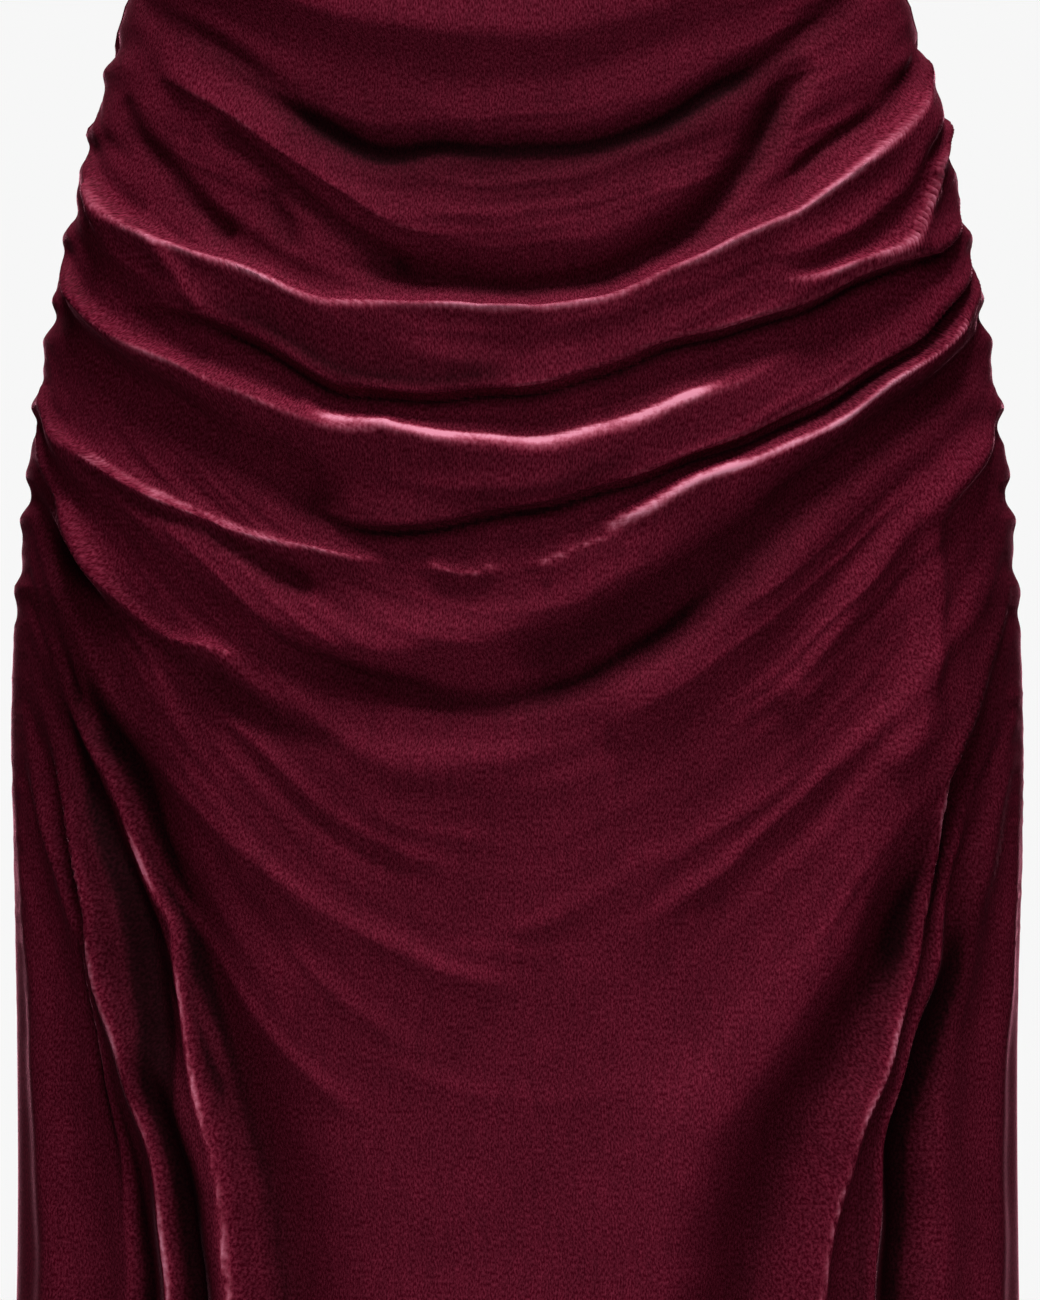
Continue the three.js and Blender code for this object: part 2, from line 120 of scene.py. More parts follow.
# A fold's path runs through (across, drop) points: millimetres across as seen from the front, + to
# the viewer's right, and millimetres below FOLD_DATUM. rise: height of the crest, minus for a
# trough. upper, lower: widths of its flanks to the left and right of the way it runs. lean: how far
# the crest tips to the left of that way. crisp: 0 for a round crest, 1 for a sharp one. The last
# column: above 0, a painted highlight along the crest, up to 1; below 0, painted shade over the
# fold, down to -1.
Fold = namedtuple("Fold", "rise upper lower lean crisp path open", defaults=(0,))

FRONT_BODICE = (
    Fold(4, 10, 16, 1, 0.2, ((-195, -122), (-72, -90), (0, -82), (74, -92), (195, -126))),
    Fold(5, 16, 9, -3, 0.2, ((-195, -98), (-90, -60), (6, -48), (90, -62), (195, -104))),
    Fold(5, 9, 18, 3, 0.3, ((-195, -70), (-100, -28), (-10, -12), (84, -32), (195, -80))),
    Fold(5, 18, 9, -3, 0.3, ((-195, -42), (-110, 4), (-8, 28), (90, 2), (195, -50))),
)

FRONT_ROLLS = (
    Fold(-3, 5, 6, 0, 0, ((-170, -10), (-68, 63), (-25, 69), (15, 68), (63, 54), (170, -20)), -0.7),
    Fold(1.2, 8, 11, 0, 0, ((-180, -8), (-105, 54), (-61, 83), (-25, 94), (15, 100), (37, 98), (59, 89),
         (88, 67), (103, 54), (190, -15))),
    Fold(2.5, 5, 2.5, -1, 0.6, ((-134, 38), (-114, 52), (-79, 75), (-60, 87), (-43, 97), (-14, 107)),
         0.34),
    Fold(-7, 8, 4, 0, 0, ((-70, 108), (-34, 117), (0, 120), (40, 113), (68, 97), (84, 77), (97, 54),
         (108, 36)), -0.8),
    Fold(-3, 3, 5, 0, 0, ((-114, 59), (-90, 77), (-62, 98), (-34, 113)), -0.5),
    Fold(-3, 3, 3, 0, 0, ((96, 80), (116, 66), (130, 56), (142, 46), (160, 30)), -0.7),
    Fold(-2.4, 4, 5, 0, 0, ((-150, 48), (-141, 62), (-115, 90), (-101, 104)), -0.6),
    Fold(-1.6, 4, 5, 0, 0, ((-93, 83), (-85, 95), (-80, 106)), -0.5),
    Fold(9, 3, 16, 3.5, 0.75, ((-205, 46), (-154, 81), (-128, 100), (-97, 112), (-68, 122.5),
         (-40, 124), (-6, 127), (30, 122), (66, 107), (103, 86), (154, 43), (205, -5)), 0.7),
    Fold(3, 3, 6, 1, 0.6, ((-12, 125), (-2, 127.5), (7, 132))),
    Fold(2, 8, 9, 0, 0.3, ((-68, 124), (-43, 138), (-25, 146), (1, 153), (30, 152))),
    Fold(6, 13, 2.3, -3, 0.5, ((-148, 123), (-114, 131), (-79, 149), (-61, 156), (-25, 159), (12, 154),
         (48, 143), (88, 131), (139, 111), (161, 103), (205, 70)), 0.36),
    # Thin trough with the darkest painted shade, a painted contact shadow under the roll above
    Fold(-2, 1.6, 2.4, 0, 0, ((-148, 127), (-114, 134), (-79, 152), (-61, 159), (-25, 162), (12, 157),
         (48, 146), (88, 134), (139, 114), (161, 106), (205, 73)), -1),
    Fold(2.5, 5, 5, 0, 0.3, ((-160, 82), (-154, 87), (-141, 109), (-130, 120), (-119, 128))),
    Fold(2.5, 4, 5, 0, 0.3, ((-136, 94), (-130, 100), (-123, 113), (-110, 131))),
    Fold(-1, 6, 5, 0, 0, ((-115, 123), (-79, 141), (-61, 149), (-30, 153), (0, 150)), -0.9),
    Fold(-1, 7, 5, 0, 0, ((-84, 197), (-66, 202), (-43, 205), (-14, 201), (15, 193), (44, 183)), -0.6),
    Fold(-1, 16, 14, 0, 0, ((-95, 48), (-40, 74), (0, 78), (55, 68), (98, 36)), -0.45),
    Fold(5, 7, 5, -1, 0.4, ((88, 111), (117, 100), (128, 92), (141, 81), (155, 61), (200, 25))),
    Fold(6.5, 3, 8, 3, 0.7, ((88, 117), (114, 110), (134, 102), (141, 94), (148, 83), (155, 71),
         (205, 30)), 0.7),
    # Low fold that mainly carries a painted highlight
    Fold(0.6, 3, 30, 0, 0, ((-78, 165), (-52, 170), (-14, 176), (15, 174), (48, 165), (78, 153)), 1),
    Fold(9, 5, 13, 2.5, 0.2, ((-205, 92), (-170, 117), (-154, 128), (-130, 143), (-97, 159), (-70, 169),
         (-43, 172), (-14, 177), (15, 175), (48, 165), (81, 152), (110, 140)), 0.5),
    Fold(2.5, 3, 6, 1, 0.6, ((-80, 160), (-64, 167), (-43, 171))),
    Fold(-6, 10, 12, 0, 0, ((-205, 108), (-166, 132), (-134, 159), (-97, 181), (-61, 198)), -0.25),
    Fold(6, 13, 2.3, -3, 0.5, ((-79, 198), (-43, 207), (-14, 203), (15, 196), (59, 184), (103, 164),
         (139, 143), (161, 125), (205, 92)), 0.36),
    # Thin trough with the darkest painted shade, a painted contact shadow under the roll above
    Fold(-2, 1.6, 2.4, 0, 0, ((-79, 201), (-43, 210), (-14, 206), (15, 199), (59, 187), (103, 167),
         (139, 146), (161, 128), (205, 95)), -1),
    Fold(7, 4, 10, 2, 0.3, ((28, 210), (44, 201), (60, 193), (81, 183), (103, 172), (121, 161),
         (154, 137), (168, 125), (205, 105)), 1),
    # Two low folds that mainly carry painted highlight
    Fold(0.6, 3, 24, 0, 0, ((30, 209), (44, 202), (58, 195), (72, 188), (84, 182)), 0.9),
    Fold(0.6, 3, 24, 0, 0, ((-190, 158), (-154, 180), (-134, 191), (-115, 202), (-101, 208),
         (-76, 214)), 0.6),
    Fold(5.5, 2.6, 8, 3, 0.8, ((-205, 150), (-154, 180), (-134, 191), (-115, 202), (-101, 208),
         (-72, 214), (-45, 219)), 0.7),
    Fold(-4, 4, 4, 0, 0.2, ((-165, 177), (-134, 198), (-115, 208), (-90, 222), (-72, 231)), -0.6),
    Fold(5, 12, 7, -1, 0, ((-205, 152), (-154, 189), (-130, 209), (-105, 230), (-79, 245), (-43, 251),
         (-6, 246), (30, 231), (66, 212), (103, 185), (139, 158), (205, 112))),
    Fold(-6, 4, 7, 0, 0, ((-97, 242), (-68, 258), (-43, 264), (-25, 271), (1, 269), (22, 262),
         (56, 244), (88, 218)), -0.7),
    Fold(-5, 8, 15, 0, 0, ((-6, 254), (15, 248), (45, 234), (81, 211), (114, 179), (139, 162),
         (200, 124)), -0.7),
    Fold(2.5, 3, 4, 0.5, 0.4, ((-34, 220), (-17, 225), (-4, 219)), 0.45),
    Fold(3, 3, 5, 0.5, 0.3, ((6, 223), (12, 218), (24, 213), (37, 210)), 0.6),
    Fold(5, 2.6, 8, 2.5, 0.8, ((-205, 160), (-166, 194), (-154, 211), (-141, 231), (-125, 246),
         (-110, 251), (-98, 257)), 0.5),
    Fold(3, 3, 6, 0.5, 0.4, ((-170, 196), (-154, 216), (-141, 237), (-126, 253), (-112, 262))),
    Fold(3.5, 8, 12, 0, 0.2, ((-128, 246), (-105, 263), (-79, 278), (-50, 291), (-21, 296), (12, 287))),
    Fold(-5, 6, 9, 0, 0, ((-200, 186), (-150, 232), (-130, 251), (-112, 264), (-97, 274), (-62, 290)),
         -0.6),
    Fold(5, 12, 12, 0, 0.1, ((30, 285), (45, 271), (66, 256), (85, 236), (103, 214), (121, 196),
         (155, 168), (205, 135))),
    Fold(4, 8, 8, 0, 0.2, ((95, 272), (103, 263), (121, 236), (132, 220), (155, 190), (205, 150))),
    Fold(5, 8, 6, 0, 0.4, ((132, 298), (141, 283), (146, 263), (150, 238), (154, 198), (190, 168))),
)

FRONT_DRAGS = (
    Fold(1.75, 2.4, 6.3, 0.5, 0.8, ((-200, 182), (-159, 212), (-145, 236), (-131, 260), (-119, 283),
         (-103, 305)), 0.2),
    Fold(2.25, 2.8, 3.5, 0.5, 0.8, ((-145, 240), (-128, 256), (-112, 272), (-86, 294), (-68, 311),
         (-43, 325), (-18, 334)), 0.2),
    Fold(-1.5, 2.8, 4.2, 0, 0, ((-128, 262), (-108, 281), (-80, 306), (-55, 324), (-30, 336))),
    Fold(1.25, 2.2, 3.5, 0.5, 0.8, ((-56, 308), (-45, 314), (-28, 319), (-8, 322)), 0.2),
    Fold(2.75, 3.2, 8.4, 0.5, 0.8, ((-200, 196), (-163, 238), (-141, 281), (-123, 303), (-97, 327),
         (-65, 348), (-43, 361), (-18, 372), (4, 376)), 0.2),
    Fold(-2.5, 5.6, 7.7, 0, 0, ((-170, 250), (-148, 280), (-134, 298), (-115, 320), (-101, 343),
         (-88, 360), (-68, 374))),
    Fold(1.5, 2.2, 4.2, 0.5, 0.8, ((-92, 352), (-68, 374), (-50, 387), (-34, 401)), 0.2),
    Fold(2.25, 2.8, 7, 0.5, 0.8, ((-195, 208), (-145, 296), (-126, 340), (-97, 383), (-75, 406),
         (-50, 424)), 0.2),
    Fold(0.75, 2.2, 3.5, 0.5, 0.8, ((-28, 360), (-6, 362), (20, 360)), 0.2),
    Fold(1.75, 2.2, 3.5, 0.5, 0.8, ((-6, 356), (15, 347), (34, 336), (56, 322)), 0.2),
    Fold(1.25, 2.2, 3.5, 0.5, 0.8, ((30, 356), (46, 337), (63, 324), (88, 307), (114, 286)), 0.2),
    Fold(2.25, 2.4, 4.9, 0.5, 0.8, ((32, 361), (52, 347), (70, 335), (85, 321), (103, 303), (121, 288),
         (150, 252), (205, 175)), 0.2),
    Fold(-1.5, 4.2, 5.6, 0, 0, ((60, 350), (80, 336), (100, 316), (124, 294))),
    Fold(1, 2.4, 4.9, 0.5, 0.8, ((40, 440), (66, 409), (84, 376)), 0.2),
    Fold(1, 2.4, 4.9, 0.5, 0.8, ((98, 372), (110, 351), (126, 326)), 0.2),
    Fold(1, 3.2, 5.6, 0.5, 0.8, ((30, 312), (64, 296), (98, 262), (124, 232)), 0.2),
    Fold(0.75, 3.6, 6.3, 0.5, 0.8, ((-70, 300), (-40, 310), (0, 306), (40, 292)), 0.2),
    Fold(0.75, 4, 7, 0.5, 0.8, ((-60, 395), (-20, 412), (20, 414), (44, 408)), 0.2),
)

FRONT_HANGS = (
    Fold(3, 6, 5, 2, 0.6, ((-190, 205), (-161, 249), (-146, 298), (-128, 351), (-110, 392), (-92, 470),
         (-72, 760), (-70, 1010)), 0.2),
    Fold(7, 4, 4, 3, 0.8, ((-190, 230), (-146, 293), (-129, 339), (-121, 358), (-112, 401), (-100, 449),
         (-93, 560), (-90, 780), (-96, 1010)), 0.85),
    Fold(4, 5, 4, 0, 0.3, ((-192, 240), (-152, 313), (-140, 358), (-131, 392), (-115, 452), (-108, 560),
         (-106, 780), (-114, 1010))),
    Fold(7, 4, 4, 3, 0.8, ((-195, 245), (-158, 307), (-148, 342), (-141, 377), (-130, 410), (-122, 452),
         (-117, 560), (-119, 780), (-131, 1010)), 0.85),
    Fold(7, 4, 4, 3, 0.8, ((-200, 260), (-158, 345), (-148, 380), (-137, 449), (-137, 600), (-145, 800),
         (-165, 1010)), 0.75),
    Fold(-5, 4, 3, 0, 0, ((-170, 258), (-148, 310), (-139, 342), (-132, 376), (-124, 420), (-116, 470),
         (-109, 600), (-107, 780), (-116, 1010)), -0.8),
    Fold(-5, 4, 3, 0, 0, ((-180, 270), (-158, 345), (-151, 388), (-142, 430), (-137, 480), (-135, 600),
         (-139, 780), (-158, 1010)), -0.8),
    Fold(-1, 20, 24, 0, 0, ((-196, 150), (-168, 240), (-146, 320), (-134, 370), (-125, 430),
         (-119, 560), (-117, 780), (-127, 1010)), -0.75),
    Fold(-1, 16, 18, 0, 0, ((200, 170), (176, 260), (154, 330), (142, 390), (130, 440), (118, 560),
         (112, 780), (120, 1010)), -0.75),
    Fold(3, 4, 4, 0, 0.4, ((-136, 390), (-121, 416), (-110, 452), (-104, 500), (-100, 560))),
    Fold(5, 8, 8, 0, 0.3, ((-205, 280), (-178, 400), (-168, 560), (-176, 780), (-203, 1010))),
    Fold(-9, 10, 6, 0, 0, ((-172, 232), (-148, 288), (-133, 330), (-119, 370), (-107, 405), (-95, 440),
         (-82, 540), (-68, 760), (-64, 1010)), -0.8),
    Fold(7, 11, 13, 2, 0.3, ((205, 175), (155, 263), (145, 296), (137, 321), (117, 363), (88, 411),
         (63, 447), (42, 560), (32, 780), (36, 1010))),
    Fold(-7, 8, 10, 0, 0, ((165, 280), (138, 348), (118, 390), (94, 440), (74, 560), (64, 780),
         (72, 1010)), -0.6),
    Fold(7, 3, 5, -3, 0.8, ((200, 215), (151, 292), (141, 340), (126, 398), (114, 434), (101, 500),
         (85, 780), (87, 1010)), 0.85),
    Fold(6, 3, 5, -2, 0.8, ((200, 236), (156, 320), (143, 372), (132, 410), (124, 452), (116, 600),
         (111, 800), (120, 1010)), 0.75),
    Fold(-5, 4, 5, 0, 0.2, ((165, 330), (149, 395), (141, 450), (136, 600), (136, 800), (145, 1010)),
         -0.8),
    Fold(5, 7, 7, 0, 0.3, ((200, 258), (160, 360), (152, 450), (150, 780), (163, 1010))),
    Fold(5, 8, 8, 0, 0.3, ((205, 280), (180, 400), (176, 560), (178, 780), (198, 1010))),
    Fold(4, 24, 24, 0, 0, ((-14, 470), (-16, 620), (-12, 800), (-10, 1010))),
)

# Folds of the back, with painted highlight on their crests and painted shade in their troughs
BACK_ROLLS = (
    Fold(4, 10, 16, 1, 0.2, ((-195, -114), (-84, -78), (0, -68), (90, -80), (195, -116)), 0.2),
    Fold(5, 8, 18, 3, 0.3, ((-205, -60), (-90, -10), (0, 4), (92, -14), (205, -64)), 0.25),
    Fold(6, 8, 20, 4, 0.4, ((-205, -25), (-96, 32), (4, 50), (96, 28), (205, -30)), 0.3),
    Fold(6, 16, 6, -4, 0.4, ((-205, 8), (-110, 62), (-8, 88), (84, 72), (205, 4)), 0.3),
    Fold(8, 5, 20, 5, 0.7, ((-205, 40), (-104, 96), (6, 122), (110, 94), (205, 36)), 0.6),
    Fold(6, 18, 5, -4, 0.5, ((-205, 72), (-92, 134), (14, 154), (104, 130), (205, 66)), 0.3),
    Fold(8, 6, 18, 5, 0.7, ((-205, 96), (-110, 160), (-4, 188), (98, 166), (205, 98)), 0.6),
    Fold(6, 16, 5, -4, 0.5, ((-205, 124), (-86, 200), (10, 216), (100, 190), (205, 126)), 0.3),
    Fold(8, 7, 18, 5, 0.6, ((-205, 146), (-104, 228), (-6, 252), (90, 232), (205, 150)), 0.6),
    Fold(6, 12, 8, -3, 0.4, ((-205, 170), (-120, 252), (-30, 292), (60, 276), (205, 172)), 0.3),
    Fold(5, 9, 11, 1, 0.4, ((-205, 190), (-130, 290), (-50, 340), (20, 352)), 0.25),
    Fold(5, 9, 11, 1, 0.4, ((10, 330), (74, 306), (140, 240), (205, 190)), 0.25),
    Fold(4, 8, 11, 1, 0.4, ((-200, 205), (-140, 318), (-70, 386), (-30, 404)), 0.2),
    Fold(4, 8, 11, 1, 0.4, ((20, 396), (84, 352), (144, 280), (205, 206)), 0.2),
    Fold(-5, 8, 10, 0, 0, ((-180, 60), (-84, 112), (6, 136), (96, 112), (180, 52)), -0.7),
    Fold(-5, 8, 10, 0, 0, ((-170, 160), (-80, 222), (4, 236), (84, 214), (170, 152)), -0.7),
    Fold(3, 4, 6, 1, 0.6, ((-160, 36), (-110, 74), (-60, 92), (-24, 98)), 0.3),
    Fold(3, 4, 6, 1, 0.6, ((30, 196), (72, 188), (120, 152), (170, 108)), 0.3),
)

BACK_HANGS = (
    Fold(5, 7, 6, 1, 0.5, ((-196, 215), (-140, 350), (-104, 480), (-84, 700), (-86, 1010))),
    Fold(5, 6, 6, 1, 0.5, ((-200, 240), (-152, 380), (-128, 520), (-118, 740), (-126, 1010))),
    Fold(5, 7, 7, 0, 0.4, ((-204, 270), (-172, 420), (-156, 600), (-156, 800), (-172, 1010))),
    Fold(6, 14, 14, 0, 0.1, ((-60, 430), (-46, 560), (-40, 780), (-42, 1010))),
    Fold(5, 18, 18, 0, 0, ((8, 440), (4, 600), (6, 800), (4, 1010))),
    Fold(6, 10, 12, 1, 0.3, ((196, 210), (134, 352), (84, 470), (54, 700), (50, 1010))),
    Fold(5, 6, 7, 0, 0.5, ((200, 236), (150, 376), (118, 520), (96, 740), (98, 1010))),
    Fold(5, 7, 7, 0, 0.4, ((204, 262), (166, 400), (144, 560), (136, 780), (146, 1010))),
    Fold(5, 8, 8, 0, 0.3, ((206, 290), (186, 440), (176, 640), (178, 820), (196, 1010))),
)

# Folds that are worked out together. squeeze: how far their flanks narrow towards the sides. growth:
# how far they widen and rise on the way down. start, end: shares of the path that they grow over.
Group = namedtuple("Group", "folds squeeze growth start end")
FRONT_GROUPS = (
    Group(FRONT_BODICE + FRONT_ROLLS, 0.4, 0, 0.14, 0.14),
    Group(FRONT_DRAGS, 0.3, 0, 0.2, 0.2),
    Group(FRONT_HANGS, 0, 1.1, 0.2, 0),
)
BACK_GROUPS = (
    Group(BACK_ROLLS, 0.4, 0, 0.14, 0.14),
    Group(BACK_HANGS, 0, 1.1, 0.2, 0),
)
FOLD_REACH = 3.5
PATH_STEPS = 30

# Sine waves along each fold that make its height uneven and its light ragged: size, how far they turn
# over the fold's length, and how far they are shifted from one fold to the next
Ripple = namedtuple("Ripple", "size turn shift")
UNEVEN = (Ripple(0.16, 5.1, 2.3), Ripple(0.1, 13, 1))
RAGGED = (Ripple(1, 17, 1), Ripple(1, 41, 2))
RAGGED_DEPTH = 0.2

# A crisp crest: how round its very tip is, and how steeply it falls away from there
CRISP_TIP = 0.6
CRISP_FALL = 1.25

# Folds run together towards the side seams: where they begin to sink, what is left of them at the
# seam, and the share of the way over which they end there
SIDE_FADE_FROM = 0.66
SIDE_FADE_LEAVES = 0.4
SIDE_END = 0.05

# Gathers along the side seams: heights they lie between, spacing, height, reach towards the centre as
# a share, and how far their spacing sways. They fade in and out over GATHER_FADE.
Gather = namedtuple("Gather", "top low spacing rise reach sway")
GATHERS = (
    Gather(-240, -640, 23, 1.7, 0.13, 2.6),
    Gather(-236, -650, 13.7, 1.1, 0.08, 3.1),
)
GATHER_FADE = 60
GATHER_SWAY = 71

# Small creases between the folds: height, spacing across them, and length along them
Crease = namedtuple("Crease", "rise width length")
CREASES = (Crease(0.7, 11, 90), Crease(0.3, 6, 55))
CREASE_POINTED = 0.8
CREASE_SEED = 7
NEXT_SEED = 31
NOISE_TABLE = 64

# The creases hang in swags: how much they sag, how much more with every millimetre of drop, from
# which drop and over how far that grows, how far out they sag, and a slow wave across
CREASE_SAG = 0.0022
CREASE_SAG_GROWTH = 0.000018
CREASE_SAG_FROM = 60
CREASE_SAG_OVER = 320
CREASE_SAG_REACH = 190
CREASE_SWAY = 6
CREASE_SWAY_LENGTH = 47

# Drops below FOLD_DATUM where the creases fade in and out and where the middle of the dress calms,
# with the distances over which they do, and how wide and how strong the calm is
CREASES_FROM = -150
CREASES_FADE_IN = 60
CREASES_TO = 430
CREASES_FADE_OUT = 120
CALM_FROM = 250
CALM_OVER = 70
CALM_WIDTH = 75
CALM_SHARE = 0.72

# Slow waves that keep lines from running too evenly: size, length along the line, length beside it
Wave = namedtuple("Wave", "size length beside start")
SWAYS = (Wave(0.9, 17, math.inf, 1.1), Wave(0.5, 7.3, 31, 0))
BOBS = (Wave(0.8, 13, math.inf, 0), Wave(0.45, 5.7, 29, 0))

# Soft lumps: their height, their lengths across and down, how far they bend and how far they slant
LUMP = 0.35
LUMP_ACROSS = 19
LUMP_DOWN = 23
LUMP_BEND = 0.6
LUMP_BEND_LENGTH = 27
LUMP_SLANT = 41

# Width of the painted highlight above and below a crest, its share of the flank's width on top, how much
# wider it is where the crest runs steeply, and how far from the middle it starts to fade out
HIGHLIGHT_ABOVE = 0.9
HIGHLIGHT_BELOW = 0.6
HIGHLIGHT_SPREAD = 0.1
HIGHLIGHT_STEEP = 0.4
HIGHLIGHT_TO = 148
HIGHLIGHT_FADES = 30

# The side seams: how deep and wide the cloth sinks beside the stitches, and their dark line
SEAM_SINK = 1.4
SEAM_SINK_WIDTH = 3.2
SEAM_DARK = 0.9
SEAM_LINE = 1.5

# Turned edges: how far they stand out, and at neck and hem their widths and the softness of the step
TURN_RISE = 0.9
NECK_TURN = 9
NECK_STEP = 1.5
HEM_TURN = 24
HEM_STEP = 3

# Straps: length, steps along them, points round them, how rounded their section is, and the share of
# their length over which they twist out of the panel's face at each end
STRAP_LENGTH = 345
STRAP_STEPS = 96
STRAP_ROUND = 28
STRAP_FLAT = 0.5
STRAP_SOFT = 0.7
STRAP_TWIST = 0.25

# Bends of a strap on its way over the shoulder, from its front end and from its back end: share of
# that end's place across, share of its depth, how far off that depth, and height
Bend = namedtuple("Bend", "across deep off z")
FRONT_BENDS = (Bend(0.98, 1, 14, -82), Bend(0.97, 0.52, 0, -26), Bend(0.97, 0, 4, 0))
BACK_BENDS = (Bend(0.97, 0.62, 0, -30), Bend(0.98, 1, -6, -90))

# The pile: shade of its ground, painted shade in troughs and still darker painted shade in the deepest
# slits, and how the painted light value turns into painted highlight
DEEP_GROUND = 0.6
PAINTED_SHADE = 0.3
PAINTED_SLIT_SHADE_FROM = -0.8
PAINTED_SLIT_SHADE = 0.35
PAINTED_LIGHT_SPREAD = 1.6
PAINTED_LIGHT_POWER = 2.2

# Noises of the velvet: scale across and down, detail, and the range that is stretched to a new one
Noise = namedtuple("Noise", "scale detail low high to_low to_high")
NAP = Noise((1750, 720), 1.5, 0.38, 0.72, 0, 1)
STREAKS = Noise((420, 60), 3.0, 0.3, 0.7, 0.86, 1.14)
BRUSHED = Noise((38, 38), 3.0, 0.3, 0.7, 0.9, 1.1)
SPECKS = Noise((700, 420), 3.0, 0.3, 0.7, -0.42, 0)

# Studio, in metres: a round floor, its shade, the shade of the ground behind, how strongly the
# surroundings light the cloth, and how far the camera stands to the side
FLOOR_RADIUS = 1.2
FLOOR_BELOW = 0.012
FLOOR_CORNERS = 96
FLOOR_SHADE = 0.42
GROUND_SHADE = 0.93
SURROUNDINGS = 0.012
CAMERA_ACROSS = 0.0009
Lamp = namedtuple("Lamp", "name place target size power")
LAMPS = (
    Lamp("top_light", (0.1, -1.05, 4.0), (0, -0.14, -0.6), 1.5, "top_power"),
    Lamp("key_light", (0.15, -4.0, 0.2), (0, -0.14, -0.6), 2.0, "key_power"),
    Lamp("back_light", (-0.2, 2.4, 2.4), (0, 0.14, -0.6), 1.6, "back_power"),
)

# What the folds add up to at each point of a panel's grid, with their painted highlight and painted shade
Field = namedtuple("Field", "lift slide_x slide_z open shut")


# Shape functions

def ease(value):
    """Smooth step from 0 to 1: three times the square less twice the cube."""
    value = np.clip(value, 0, 1)
    return value * value * (3 - 2 * value)


def look_up(rows, key, column, value):
    """Cubic pieces through a table's rows, whose slopes come from the rows on both sides."""
    keys = np.array([getattr(row, key) for row in rows], float)
    values = np.array([getattr(row, column) for row in rows], float)
    if keys[0] > keys[-1]:
        keys, values = keys[::-1], values[::-1]
    before = np.r_[0, np.arange(len(keys) - 1)]
    after = np.r_[np.arange(1, len(keys)), len(keys) - 1]
    slopes = (values[after] - values[before]) / (keys[after] - keys[before])
    i = np.clip(np.searchsorted(keys, value) - 1, 0, len(keys) - 2)
    span = keys[i + 1] - keys[i]
    t = (value - keys[i]) / span
    t2 = t * t
    t3 = t2 * t
    return ((2 * t3 - 3 * t2 + 1) * values[i] + (t3 - 2 * t2 + t) * span * slopes[i]
            + (3 * t2 - 2 * t3) * values[i + 1] + (t3 - t2) * span * slopes[i + 1])


def catmull_rom(points, steps):
    """Even Catmull-Rom curve through the points, as steps short straight runs."""
    ends = np.concatenate([points[:1], points, points[-1:]])
    place = np.linspace(0, len(points) - 1, steps + 1)
    i = np.minimum(place.astype(int), len(points) - 2)
    t = (place - i)[:, None]
    a, b, c, d = (ends[i + k] for k in range(4))
    leaving = (c - a) / 2
    arriving = (d - b) / 2
    return ((2 * b - 2 * c + leaving + arriving) * t ** 3
            + (3 * c - 3 * b - 2 * leaving - arriving) * t ** 2 + leaving * t + b)


def nearest_on(path, x, z):
    """Distance to the path, + on its left, the share of the way along, and the path's left there."""
    best = np.full(x.shape, np.inf)
    side = np.ones_like(x)
    share = np.zeros_like(x)
    left_x = np.zeros_like(x)
    left_z = np.zeros_like(x)
    for i, (start, run) in enumerate(zip(path, np.diff(path, axis=0))):
        length = math.hypot(*run)
        dx = x - start[0]
        dz = z - start[1]
        t = np.clip((dx * run[0] + dz * run[1]) / length ** 2, 0, 1)
        distance = np.hypot(dx - t * run[0], dz - t * run[1])
        closer = distance < best
        best = np.where(closer, distance, best)
        side = np.where(closer, np.where(run[0] * dz - run[1] * dx < 0, -1, 1), side)
        share = np.where(closer, (i + t) / (len(path) - 1), share)
        left_x = np.where(closer, -run[1] / length, left_x)
        left_z = np.where(closer, run[0] / length, left_z)
    return best * side, share, left_x, left_z


def crest(distance, upper, lower, crisp):
    """1 on the path, falling to 0 over each flank: a bell curve, or a peak where it is crisp."""
    flank = np.where(distance > 0, upper, lower)
    round_top = np.exp(-(distance / flank) ** 2)
    past_tip = np.sqrt(distance ** 2 + CRISP_TIP ** 2) - CRISP_TIP
    sharp_top = np.exp(-CRISP_FALL * past_tip / flank)
    return (1 - crisp) * round_top + crisp * sharp_top


def ripple(row, share, number):
    """Sine wave along a fold, at a share of the way, for the fold of that number."""
    return row.size * np.sin(row.turn * share + row.shift * number)


